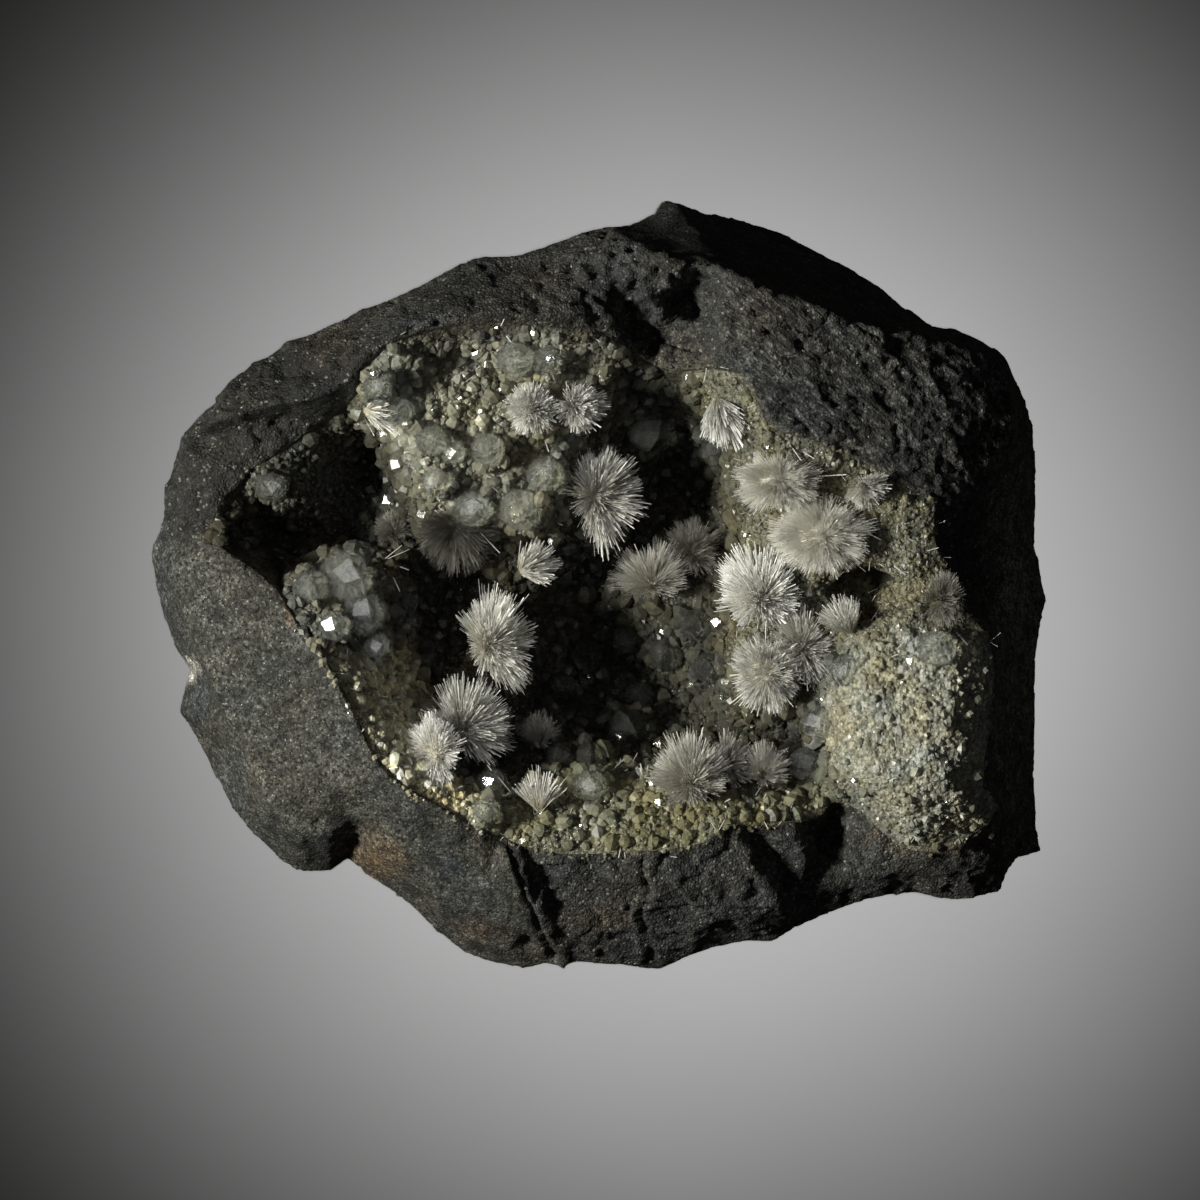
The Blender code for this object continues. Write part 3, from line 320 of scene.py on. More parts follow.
# Single needles: start in plan units, its lift off what lies under it in mm, end in plan units, how much
# higher it ends in mm, and width in mm
LOOSE_NEEDLES = [
    (797, 510, 4.2, 818, 531, 0.6, 0.15), (818, 531, 4.8, 830, 524, 0.8, 0.15), (383, 560, 0.0, 402, 545, 2.2, 0.13),
    (384, 560, 0.0, 410, 549, 2.6, 0.11), (386, 562, 0.0, 409, 570, 2.0, 0.12), (381, 566, 0.0, 393, 577, 1.6, 0.20),
    (393, 577, 1.6, 400, 592, 0.6, 0.18), (744, 430, 0.2, 757, 438, 1.0, 0.16), (792, 449, 0.1, 801, 462, 0.6, 0.2),
    (815, 477, 0.2, 846, 475, 1.4, 0.16), (783, 484, 3.0, 790, 476, 0.8, 0.14), (832, 517, 1.0, 843, 512, 0.8, 0.14),
    (860, 499, 0.1, 867, 488, 0.9, 0.14), (780, 655, 4.0, 797, 643, 0.9, 0.2), (722, 803, 0.1, 730, 798, 0.7, 0.2),
    (512, 793, 0.1, 498, 776, 1.2, 0.13), (504, 797, 0.0, 509, 792, 0.8, 0.2), (545, 440, 0.1, 549, 452, 0.9, 0.18),
    (708, 778, 3.5, 708, 762, 1.2, 0.13), (476, 528, 0.2, 500, 553, 1.2, 0.11), (456, 586, 0.0, 470, 596, 0.8, 0.1),
    (880, 540, 0.5, 866, 533, 0.5, 0.14), (905, 575, 0.0, 893, 566, 1.0, 0.2), (955, 632, 0.1, 966, 645, 0.8, 0.16),
    (852, 618, 0.3, 846, 606, 1.6, 0.18), (870, 622, 0.1, 877, 612, 0.8, 0.15), (600, 586, 0.1, 622, 584, 0.6, 0.12),
]

# Short needles scattered on the lining
SCATTERED_NEEDLES = {"wall": 120, "ledge": 90, "platform": 60, "patch": 40, "crumbs": 40}


def plan(x, y):
    """Plan units to metres in the frame."""
    return (x - PLAN_CENTRE[0]) * UNIT, (PLAN_CENTRE[1] - y) * UNIT


def to_plan(points):
    """Points in metres as plan units, x to the right and y down."""
    return np.column_stack([points[:, 0] / UNIT + PLAN_CENTRE[0], PLAN_CENTRE[1] - points[:, 1] / UNIT])


def inside(spots, loop):
    """Which plan spots lie inside a closed loop."""
    found = np.zeros(len(spots), bool)
    loop = np.array(loop, float)
    for (ax, ay), (bx, by) in zip(loop, np.roll(loop, -1, axis=0)):
        if ay != by:
            crosses = (ay > spots[:, 1]) != (by > spots[:, 1])
            found ^= crosses & (spots[:, 0] < (bx - ax) * (spots[:, 1] - ay) / (by - ay) + ax)
    return found


def distance_to(spots, line):
    """How far plan spots lie from an open line."""
    line = np.array(line, float)
    nearest = np.full(len(spots), np.inf)
    for a, b in zip(line, line[1:]):
        share = np.clip(((spots - a) @ (b - a)) / np.dot(b - a, b - a), 0, 1)
        nearest = np.minimum(nearest, np.linalg.norm(spots - a - share[:, None] * (b - a), axis=1))
    return nearest


def soft_area(spots, loop, softness):
    """1 inside a loop and 0 outside it, with a soft edge of the given width."""
    away = distance_to(spots, [*loop, loop[0]])
    signed = np.where(inside(spots, loop), away, -away)
    return np.clip(0.5 + signed / softness, 0, 1)


class Noise:
    """Seeded smooth, ridged and cellular noise over arrays of points."""

    TABLE = 4096

    def __init__(self, seed):
        rng = np.random.default_rng(seed)
        slopes = rng.normal(size=(self.TABLE, 3))
        self.slopes = slopes / np.linalg.norm(slopes, axis=1)[:, None]
        self.random = rng.random((self.TABLE, 7))

    def key(self, cell):
        mixed = (cell[:, 0] * 73856093) ^ (cell[:, 1] * 19349663) ^ (cell[:, 2] * 83492791)
        return (mixed ^ (mixed >> 13)) & (self.TABLE - 1)

    def smooth(self, points, size):
        """Gradient noise between about -1 and 1."""
        place = points / size
        cell = np.floor(place).astype(np.int64)
        part = place - cell
        fade = part**3 * (part * (part * 6 - 15) + 10)
        total = np.zeros(len(points))
        for corner in product((0, 1), repeat=3):
            corner = np.array(corner)
            slope = self.slopes[self.key(cell + corner)]
            weight = np.where(corner == 1, fade, 1 - fade).prod(axis=1)
            total += weight * ((part - corner) * slope).sum(axis=1)
        return total * 1.7

    def fractal(self, points, size, octaves=4, gain=0.5):
        total, strength = np.zeros(len(points)), 1.0
        for octave in range(octaves):
            total += strength * self.smooth(points + 31.7 * octave, size / 2.03**octave)
            strength *= gain
        return total

    def ridged(self, points, size, octaves=3):
        total, strength = np.zeros(len(points)), 1.0
        for octave in range(octaves):
            total += strength * (1 - 2 * np.abs(self.smooth(points + 17.3 * octave, size / 2.03**octave)))
            strength *= 0.5
        return total

    def cells(self, points, size):
        """Distance to the nearest cell point and to the next, and the place and random values of the cell."""
        place = points / size
        base = np.floor(place).astype(np.int64)
        nearest = np.full(len(points), np.inf)
        second = np.full(len(points), np.inf)
        centre = np.zeros((len(points), 3))
        values = np.zeros((len(points), 4))
        for step in product((-1, 0, 1), repeat=3):
            cell = base + np.array(step)
            key = self.key(cell)
            spot = cell + self.random[key, :3]
            away = np.linalg.norm(place - spot, axis=1)
            closer = away < nearest
            second = np.where(closer, nearest, np.minimum(second, away))
            nearest = np.where(closer, away, nearest)
            centre[closer] = spot[closer]
            values[closer] = self.random[key[closer], 3:]
        return nearest * size, second * size, centre * size, values

    def facets(self, points, size):
        """Relief of small flats, each tilted its own way, in the same unit as the points."""
        _, _, centre, values = self.cells(points, size)
        return ((points - centre) * (values[:, :3] - 0.5) * 2).sum(axis=1)


def mesh_object(name, points, faces, material, smooth=False):
    """A mesh object from an array of points and an array of faces with the same number of corners."""
    mesh = bpy.data.meshes.new(name)
    count, corners = faces.shape
    mesh.vertices.add(len(points))
    mesh.vertices.foreach_set("co", np.asarray(points, np.float32).ravel())
    mesh.loops.add(count * corners)
    mesh.loops.foreach_set("vertex_index", faces.astype(np.int32).ravel())
    mesh.polygons.add(count)
    mesh.polygons.foreach_set("loop_start", np.arange(0, count * corners, corners, dtype=np.int32))
    mesh.update(calc_edges=True)
    if smooth:
        mesh.shade_smooth()
    else:
        mesh.shade_flat()
    mesh.materials.append(material)
    made = bpy.data.objects.new(name, mesh)
    bpy.context.scene.collection.objects.link(made)
    return made


def places(mesh):
    """A mesh's points and their normals as arrays."""
    points = np.empty(len(mesh.vertices) * 3, np.float32)
    normals = np.empty(len(mesh.vertices) * 3, np.float32)
    mesh.vertices.foreach_get("co", points)
    mesh.vertices.foreach_get("normal", normals)
    return points.reshape(-1, 3).astype(float), normals.reshape(-1, 3).astype(float)


def applied(made):
    """Replace an object's mesh by what its modifiers make of it."""
    graph = bpy.context.evaluated_depsgraph_get()
    mesh = bpy.data.meshes.new_from_object(made.evaluated_get(graph))
    made.modifiers.clear()
    old, made.data = made.data, mesh
    bpy.data.meshes.remove(old)


def fine_copy(node, name, voxel):
    """An even, fine mesh of a CAD node's surface, as a new object."""
    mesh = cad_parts[node].data.copy()
    shape = bmesh.new()
    shape.from_mesh(mesh)
    bmesh.ops.remove_doubles(shape, verts=shape.verts, dist=WELD)
    shape.to_mesh(mesh)
    shape.free()
    mesh.materials.clear()
    made = bpy.data.objects.new(name, mesh)
    bpy.context.scene.collection.objects.link(made)
    step = made.modifiers.new("even", "REMESH")
    step.mode = "VOXEL"
    step.voxel_size = voxel
    applied(made)
    return made


def thinned(made, most):
    """Collapse a piece's mesh to at most so many triangles, where it is flattest."""
    made.data.calc_loop_triangles()
    have = len(made.data.loop_triangles)
    if have > most:
        step = made.modifiers.new("thinned", "DECIMATE")
        step.ratio = most / have
        applied(made)


def coloured(mesh, name, colours):
    """Store a colour for every point."""
    layer = mesh.color_attributes.new(name, "FLOAT_COLOR", "POINT")
    layer.data.foreach_set("color", np.column_stack([colours, np.ones(len(colours))]).astype(np.float32).ravel())


def tree_of(objects):
    """One search tree over several objects' meshes."""
    points, faces = [], []
    for item in objects:
        start = len(points)
        points += [v.co.copy() for v in item.data.vertices]
        faces += [[start + v for v in face.vertices] for face in item.data.polygons]
    return BVHTree.FromPolygons(points, faces)


def nearest_on(tree, points, normals, reach=1.0):
    """The nearest place of a surface to every point, how far it is, and whether it lies ahead of the point."""
    found = [tree.find_nearest(Vector(point), reach) for point in points]
    spots = np.array([point if hit[0] is None else hit[0][:] for point, hit in zip(points, found)])
    away = np.array([reach if hit[0] is None else hit[3] for hit in found])
    ahead = ((spots - points) * normals).sum(axis=1) > 0.3 * away
    return spots, away, ahead


def in_hole(points):
    """How far out plan spots lie from the middle of the lining's hole, 1 at its edge."""
    x, y, wide, high = HOLE
    spots = to_plan(points)
    return np.hypot((spots[:, 0] - x) / wide, (spots[:, 1] - y) / high)


def hole_floor(points):
    """1 on the rock in the lining's hole and 0 away from it, with a soft edge."""
    return np.clip((1.2 - in_hole(points)) / 0.2, 0, 1)


# Materials

class Finish:
    """A node material in the making, over the object's own coordinates in millimetres."""

    def __init__(self, name):
        self.material = bpy.data.materials.new(name)
        self.material.use_nodes = True
        self.tree = self.material.node_tree
        self.place = self.mapped(self.node("TexCoord").outputs["Object"], Scale=(1 / MM,) * 3)

    def put(self, socket, value):
        """Link an input, or set it; a colour of three numbers becomes opaque."""
        if isinstance(value, bpy.types.NodeSocket):
            self.tree.links.new(value, socket)
        else:
            socket.default_value = (*value, 1) if socket.type == "RGBA" else value

    def node(self, kind, inputs=(), **settings):
        """A node with its settings, its inputs given as values or as sockets to link."""
        node = self.tree.nodes.new("ShaderNode" + kind)
        for name, value in settings.items():
            setattr(node, name, value)
        for name, value in dict(inputs).items():
            self.put(node.inputs[name], value)
        return node

    def mapped(self, vector, **change):
        return self.node("Mapping", {"Vector": vector, **change}).outputs["Vector"]

    def layer(self, name):
        """A colour that the mesh holds at its points."""
        return self.node("VertexColor", layer_name=name).outputs["Color"]

    def channels(self, colour):
        split = self.node("SeparateColor", {"Color": colour})
        return [split.outputs[name] for name in ("Red", "Green", "Blue")]

    def grain(self, size, detail=3.0, place=None, roughness=0.6):
        """Noise whose features have the given size in millimetres."""
        return self.node("TexNoise", {
            "Vector": self.place if place is None else place,
            "Scale": 1 / size, "Detail": detail, "Roughness": roughness,
        }).outputs["Fac"]

    def cells(self, size):
        """Cells of the given size in millimetres: the distance from the middle, and a random value for each."""
        found = self.node("TexVoronoi", {"Vector": self.place, "Scale": 1 / size})
        return found.outputs["Distance"], self.channels(found.outputs["Color"])[0]

    def ranged(self, value, low, high, to_low, to_high):
        """A value mapped from one range to another."""
        return self.node("MapRange", {
            "Value": value, "From Min": low, "From Max": high, "To Min": to_low, "To Max": to_high,
        }).outputs["Result"]

    def maths(self, operation, first, *others):
        """An operation on the first value and each of the others in turn."""
        for other in others:
            first = self.node("Math", {0: first, 1: other}, operation=operation).outputs[0]
        return first

    def times(self, *factors):
        return self.maths("MULTIPLY", *factors)

    def mix(self, share, first, second, blend="MIX"):
        """The mix of two colours."""
        inputs = {0: share, 6: first, 7: second}
        return self.node("Mix", inputs, data_type="RGBA", blend_type=blend).outputs[2]

    def tinted(self, first, second):
        return self.mix(1.0, first, second, "MULTIPLY")

    def finished(self, inputs, relief=None, strength=1.0, distance=0.0):
        """Set the shader's inputs, and its bump from a relief, and give the material."""
        if relief is not None:
            bump = self.node("Bump", {"Height": relief, "Strength": strength, "Distance": distance})
            inputs["Normal"] = bump.outputs["Normal"]
        for name, value in inputs.items():
            self.put(self.tree.nodes["Principled BSDF"].inputs[name], value)
        return self.material


def basalt_material(settings):
    """Dark rock of light and dark grains, with dark joints partly painted shade, small pits painted dark as painted
    shade, a faint sparkle and, in places, streaks of grain and painted grain shadows.
    """
    rock = Finish("basalt")
    pitted, streaked, plain = rock.channels(rock.layer("marks"))
    size = settings.grain_size / MM
    away, value = rock.cells(size)
    # Darker towards each grain's edge: dark joints, partly painted shade between the grains
    shade = rock.times(
        rock.ranged(away, 0.15, 0.75, 1.2, 0.45),
        rock.ranged(value, 0, 1, 0.5, 1.5),
        rock.ranged(rock.grain(size * 2.6, 4), 0.35, 0.65, 0.45, 1.6),
        rock.ranged(rock.grain(2.6, 5, roughness=0.7), 0.36, 0.64, 0.5, 1.6))
    # Streaks on the right-hand face: partly grain, partly painted shadows of the grains under raking light
    turned = rock.mapped(rock.mapped(rock.place, Rotation=(0, 0, STREAK_TURN)), Scale=(0.33, 1, 1))
    streaks = rock.ranged(rock.grain(0.9, 5, turned), 0.4, 0.6, 0.12, 1.95)
    shade = rock.mix(streaked, shade, rock.times(shade, streaks))
    drawn = rock.mapped(rock.place, Scale=(0.12, 1, 1))
    shade = rock.mix(plain, shade, rock.ranged(rock.grain(1.1, 3, drawn), 0.35, 0.65, 0.7, 1.35))
    colour = rock.tinted(rock.layer("tone"), shade)
    coarse = rock.times(rock.maths("SUBTRACT", 1.0, plain), rock.ranged(pitted, 0.2, 1, 1, 0.4))
    colour = rock.mix(
        rock.times(rock.ranged(value, 0.955, 0.985, 0, 0.6), coarse), colour, settings.grain_colour)
    # Small pits painted near black, as painted shade in them
    hole = rock.times(rock.ranged(rock.grain(0.5, 2), 0.59, 0.64, 0, 1), pitted)
    colour = rock.mix(rock.times(hole, 0.85), colour, (0.006, 0.006, 0.006))
    relief = rock.maths(
        "ADD",
        rock.ranged(away, 0, 0.8, 0.4, 0),
        rock.times(rock.grain(size * 2.2, 5), 1.1),
        rock.times(value, 0.2))
    relief = rock.times(relief, rock.ranged(plain, 0, 1, 1, 0.12), rock.ranged(pitted, 0.2, 1, 1, 0.55))
    relief = rock.maths("ADD", relief, rock.times(streaks, streaked, 0.6))
    relief = rock.maths("SUBTRACT", relief, rock.times(hole, 0.9))
    return rock.finished({
        "Base Color": colour,
        "Roughness": rock.ranged(value, 0.85, 1.0, settings.roughness, 0.22),
        "Specular IOR Level": 0.5,
    }, relief, 1.0, settings.grain_relief)


def lining_material(settings):
    """The grown crust: milky and sugary, whiter and yellower in places, with dark joints between the grains that are
    partly painted shade, and small pits painted dark as painted shade.
    """
    crust = Finish("analcime_crust")
    pitted, inner, _ = crust.channels(crust.layer("pitted"))
    away, value = crust.cells(0.46)
    # Darker towards each grain's edge: dark joints, partly painted shade between the grains
    shade = crust.times(
        crust.ranged(away, 0.15, 0.8, 1.15, 0.6),
        crust.ranged(value, 0, 1, 0.75, 1.25),
        crust.ranged(crust.grain(1.3, 5), 0.35, 0.65, 0.65, 1.35))
    colour = crust.tinted(crust.layer("tone"), crust.mix(inner, shade, (0.8, 0.8, 0.8)))
    yellow = crust.tinted(colour, (0.88, 0.82, 0.62))
    colour = crust.mix(crust.ranged(crust.grain(1.6, 4), 0.48, 0.64, 0, 0.7), colour, yellow)
    # Small pits painted near black, as painted shade in them
    pits = crust.times(crust.ranged(crust.grain(0.6, 2), 0.56, 0.62, 0, 1), pitted)
    colour = crust.mix(crust.times(pits, 0.9), colour, (0.02, 0.017, 0.010))
    relief = crust.maths("ADD", crust.ranged(away, 0, 0.8, 0.6, 0), crust.times(crust.grain(0.5), 0.8))
    relief = crust.maths("SUBTRACT", relief, crust.times(pits, 0.9))
    return crust.finished({
        "Base Color": colour,
        "Roughness": crust.ranged(value, 0, 1, 0.18, 0.6),
        "Subsurface Weight": 0.4,
        "Subsurface Radius": (1.0, 1.0, 0.85),
        "Subsurface Scale": 0.5 * MM,
        "IOR": settings.ior,
    }, crust.times(relief, crust.ranged(inner, 0, 1, 1, 0.1)), 1.0, 0.2 * MM)


def crystal_material(name, settings, clearness, density, dull=0.0):
    """Clear to milky analcime in each crystal's own colour, with faint growth marks on its faces."""
    crystal = Finish(name)
    cloud = crystal.ranged(crystal.grain(0.9, 4), 0.35, 0.65, 0.7, 1.2)
    polish = settings.polish + dull
    if density:
        inner = crystal.node("VolumeAbsorption", {"Color": settings.absorption_colour, "Density": density})
        crystal.put(crystal.tree.nodes["Material Output"].inputs["Volume"], inner.outputs["Volume"])
    return crystal.finished({
        "Base Color": crystal.tinted(crystal.layer("tone"), cloud),
        "Transmission Weight": clearness,
        "IOR": settings.ior,
        "Roughness": crystal.ranged(crystal.grain(0.7), 0.45, 0.65, polish, polish + 0.1),
    }, crystal.grain(0.4, 4), 0.5, 0.05 * MM)


def needle_material(name, settings, colour, clearness, roughness):
    """Glassy white needles, creamier towards their root and a little cloudier in places."""
    needle = Finish(name)
    own = needle.tinted(colour, needle.ranged(needle.grain(1.3), 0.35, 0.65, 0.86, 1.08))
    return needle.finished({
        "Base Color": needle.tinted(own, needle.layer("tone")),
        "Transmission Weight": clearness,
        "IOR": settings.ior,
        "Roughness": needle.ranged(needle.grain(0.6, 2), 0.35, 0.65, roughness, roughness + 0.2),
    }, needle.grain(0.12, 2), 0.15, 0.01 * MM)


# What a user would change

COLOUR = {"subtype": "COLOR", "size": 3, "min": 0, "max": 1}
LENGTH = {"unit": "LENGTH", "precision": 5}
POWER = {"min": 0, "max": 100}


class BasaltLook(bpy.types.PropertyGroup):
    """The broken rock."""

    colour: FloatVectorProperty(
        name="Rock colour", description="Colour of the fresh broken rock", default=(0.052, 0.052, 0.050), **COLOUR)
    smooth_colour: FloatVectorProperty(
        name="Weathered colour", description="Colour of the smooth weathered face",
        default=(0.066, 0.0655, 0.058), **COLOUR)
    dark_colour: FloatVectorProperty(
        name="Dark face colour", description="Colour of the smooth dark face",
        default=(0.009, 0.0095, 0.009), **COLOUR)
    grain_colour: FloatVectorProperty(
        name="Light grain colour", description="Colour of the small light mineral grains",
        default=(0.30, 0.30, 0.28), **COLOUR)
    grain_size: FloatProperty(
        name="Grain size", description="Size of the mineral grains",
        min=0.0001, max=0.002, default=0.00034, **LENGTH)
    grain_relief: FloatProperty(
        name="Grain relief", description="How far the grains stand out of the surface",
        min=0, max=0.002, default=0.0004, **LENGTH)
    relief: FloatProperty(
        name="Relief", description="How strongly the broken faces are hackled", min=0, max=3, default=1.0)
    roughness: FloatProperty(
        name="Roughness", description="Roughness of the rock", subtype="FACTOR", min=0, max=1, default=0.75)
    step: FloatProperty(
        name="Mesh step", description="Spacing of the points that carry the relief",
        min=0.0003, max=0.003, default=0.00045, **LENGTH)


class AnalcimeLook(bpy.types.PropertyGroup):
    """The lining and its crystals."""

    clear_colour: FloatVectorProperty(
        name="Clear colour", description="Colour of the clear crystals", default=(0.87, 0.89, 0.85), **COLOUR)
    milky_colour: FloatVectorProperty(
        name="Milky colour", description="Colour of the small white crystals", default=(0.70, 0.69, 0.64), **COLOUR)
    absorption_colour: FloatVectorProperty(
        name="Absorption colour", description="What is left of white light deep inside a crystal",
        default=(0.86, 0.90, 0.87), **COLOUR)
    density: FloatProperty(
        name="Absorption", description="How strongly a clear crystal takes up light, per metre",
        min=0, max=1000, default=70.0)
    ior: FloatProperty(name="IOR", description="Refraction of analcime", min=1, max=2, default=1.487)
    polish: FloatProperty(
        name="Face roughness", description="Roughness of the crystal faces",
        subtype="FACTOR", min=0, max=1, default=0.03)
    step: FloatProperty(
        name="Mesh step", description="Spacing of the points that carry the relief of the lining",
        min=0.0003, max=0.003, default=0.00042, **LENGTH)


class NatroliteLook(bpy.types.PropertyGroup):
    """The needles."""

    bright_colour: FloatVectorProperty(
        name="Bright needles", description="Colour of the thick glassy needles", default=(0.97, 0.97, 0.95), **COLOUR)
    white_colour: FloatVectorProperty(
        name="White needles", description="Colour of the white needles", default=(0.93, 0.925, 0.88), **COLOUR)
    hazy_colour: FloatVectorProperty(
        name="Hazy needles", description="Colour of the very fine needles", default=(0.89, 0.87, 0.80), **COLOUR)
    # The dull needles' colour is painted shade, for sprays deep in the vug or in its shade
    dim_colour: FloatVectorProperty(
        name="Dull needles", description="Colour of the shaded needles deep in the vug",
        default=(0.50, 0.485, 0.43), **COLOUR)
    root_colour: FloatVectorProperty(
        name="Root tint", description="Creamy tint of the needles towards their root",
        default=(0.70, 0.645, 0.50), **COLOUR)
    needle_width: FloatProperty(
        name="Needle width", description="Width of the thicker needles",
        min=0.00002, max=0.001, default=0.00015, **LENGTH)
    hair_width: FloatProperty(
        name="Hair width", description="Width of the finest needles at their tip",
        min=0.00001, max=0.0005, default=0.00006, **LENGTH)
    ior: FloatProperty(name="IOR", description="Refraction of natrolite", min=1, max=2, default=1.48)


class StageLook(bpy.types.PropertyGroup):
    """The floor, the lights and the camera."""

    floor_colour: FloatVectorProperty(
        name="Floor colour", description="Colour of the plain floor", default=(0.72, 0.72, 0.72), **COLOUR)
    key_power: FloatProperty(
        name="Key light", description="Power of the soft key light", default=11.0, **POWER)
    key_turn: FloatProperty(
        name="Key direction", description="Where the key light stands, turned from the right-hand side",
        subtype="ANGLE", default=math.radians(181))
    key_height: FloatProperty(
        name="Key height", description="How high the key light stands", subtype="ANGLE", default=math.radians(37))
    fill_power: FloatProperty(
        name="Fill light", description="Power of the weak fill", default=0.35, **POWER)
    needle_power: FloatProperty(
        name="Needle light", description="Power of the light that lifts the needles", default=3.3, **POWER)
    crystal_power: FloatProperty(
        name="Crystal light", description="Power of the light that the clear faces mirror", default=11.0, **POWER)
    floor_power: FloatProperty(
        name="Floor light", description="Power of the light on the floor", min=0, max=1000, default=278.0)
    lens: FloatProperty(name="Lens", description="Focal length in millimetres", min=20, max=2000, default=600.0)


def look(name):
    """The user's settings for one group of pieces."""
    return getattr(bpy.context.scene, "specimen_" + name)


def key_direction():
    """The way from the specimen to the key light."""
    turn, height = look("stage").key_turn, look("stage").key_height
    return Vector((math.cos(turn) * math.cos(height), math.sin(turn) * math.cos(height), math.sin(height)))


# The basalt

def basalt_relief(points, normals, strength):
    """How far each point of the rock moves along its normal, in metres, and its share of each area."""
    noise = Noise(11)
    grid = points / MM
    spots = to_plan(points)
    facing = np.clip((normals[:, 2] - 0.1) / 0.5, 0, 1)
    areas = {name: soft_area(spots, loop, 14) * facing for name, loop in FACE_AREAS.items()}
    calm = np.clip(areas["smooth"] + areas["dark"], 0, 1)
    hackly = 0.20 * noise.facets(grid, 3.3) + 0.18 * noise.facets(grid + 50, 1.4)
    hackly += 0.13 * noise.fractal(grid, 1.0, 3) + 0.20 * noise.fractal(grid, 8.0, 3)
    hackly *= 1 - 0.65 * np.clip((0.6 - normals[:, 2]) / 0.35, 0, 1)
    along = np.array([math.cos(STREAK_TURN), -math.sin(STREAK_TURN), 0.0])
    across = np.array([math.sin(STREAK_TURN), math.cos(STREAK_TURN), 0.0])
    sheared = np.column_stack([(grid @ along) / 2.6, grid @ across, grid[:, 2]])
    streaks = 0.32 * noise.ridged(sheared, 1.6, 3) + 0.38 * noise.facets(sheared, 1.5) - 0.14
    streaks += 0.18 * noise.facets(grid + 20, 0.9) + 0.14 * noise.fractal(sheared, 0.9, 3)
    streaks *= 1 + 0.8 * np.clip((900 - spots[:, 0]) / 80, 0, 1)
    smooth = 0.14 * noise.fractal(grid, 10.0, 3) + 0.13 * noise.fractal(grid, 1.0, 3)
    drawn = np.column_stack([grid[:, 0] / 6, grid[:, 1:]])
    dark = 0.07 * noise.fractal(drawn, 2.2, 3)
    rough = 0.38 * noise.ridged(grid, 3.4, 3) + 0.25 * noise.facets(grid, 1.8)
    ragged = 0.55 * noise.ridged(grid, 2.6, 3) + 0.35 * noise.facets(grid, 1.6)
    relief = hackly * (1 - calm) * (1 - areas["streaked"]) * (1 - 0.6 * areas["rough"])
    relief += streaks * areas["streaked"] + smooth * areas["smooth"] + dark * areas["dark"] + rough * areas["rough"]
    relief += ragged * areas["ragged"] * (1 - areas["streaked"])
    nearest, _, _, values = noise.cells(grid, 1.6)
    pit = np.clip(1 - nearest / (0.2 + 0.35 * values[:, 3]), 0, 1) * (values[:, 0] > 0.72)
    relief -= 0.4 * pit * (0.3 + 0.7 * areas["smooth"]) * (1 - areas["dark"]) * facing
    for width, depth, line in CRACKS:
        away = distance_to(spots, line) * UNIT / MM
        away += 0.15 * noise.smooth(grid, 1.0)
        relief -= depth * np.exp(-((away / width) ** 2)) * facing
    for x, y, radius, depth in PITS:
        away = np.linalg.norm(spots - (x, y), axis=1) * UNIT / MM
        relief -= depth * np.exp(-((away / radius) ** 2)) * facing
    return relief * strength * MM, areas


def basalt_tones(points, normals, areas, settings, from_crust):
    """The rock's colour at every point, before its grain; from_crust is how far the lining is, in mm."""
    noise = Noise(23)
    grid = points / MM
    spots = to_plan(points)
    tone = np.tile(np.array(settings.colour[:]), (len(points), 1))
    for name, colour in (("smooth", settings.smooth_colour), ("dark", settings.dark_colour)):
        share = areas[name][:, None]
        tone = tone * (1 - share) + np.array(colour[:]) * share
    tone *= (1 + 0.42 * areas["streaked"] - 0.45 * areas["rough"])[:, None]
    tone *= (1 + 0.36 * noise.fractal(grid, 5.0, 5))[:, None]
    warm = np.clip(noise.fractal(grid + 90, 11.0, 3), -0.6, 1)[:, None]
    tone *= 1 + warm * np.array([0.14, 0.05, -0.10])
    # Stains, the painted light on the shaded side face and the darker patches, each with a ragged edge
    for x, y, wide, high, share, colour in STAINS_AND_PAINTED_LIGHT:
        away = np.hypot((spots[:, 0] - x) / wide, (spots[:, 1] - y) / high)
        away += 0.35 * noise.fractal(grid, 2.0, 3)
        cover = (np.clip(1.3 - away, 0, 1) * share)[:, None]
        cover *= np.clip((normals[:, 2] + 0.1) / 0.3, 0, 1)[:, None]
        tone = tone * (1 - cover) + np.array(colour) * cover
    crusted = (np.clip(0.85 + 0.9 * noise.fractal(grid, 1.3, 3) - from_crust / 0.9, 0, 1) * 0.75)[:, None]
    crusted *= 1 - soft_area(spots, BARE_LIP, 20)[:, None]
    tone = tone * (1 - crusted) + np.array(RIM_CRUST) * crusted
    floor = hole_floor(points)[:, None]
    tone = tone * (1 - floor) + np.array(HOLE_FLOOR) * floor
    return np.clip(tone, 0.004, 1)


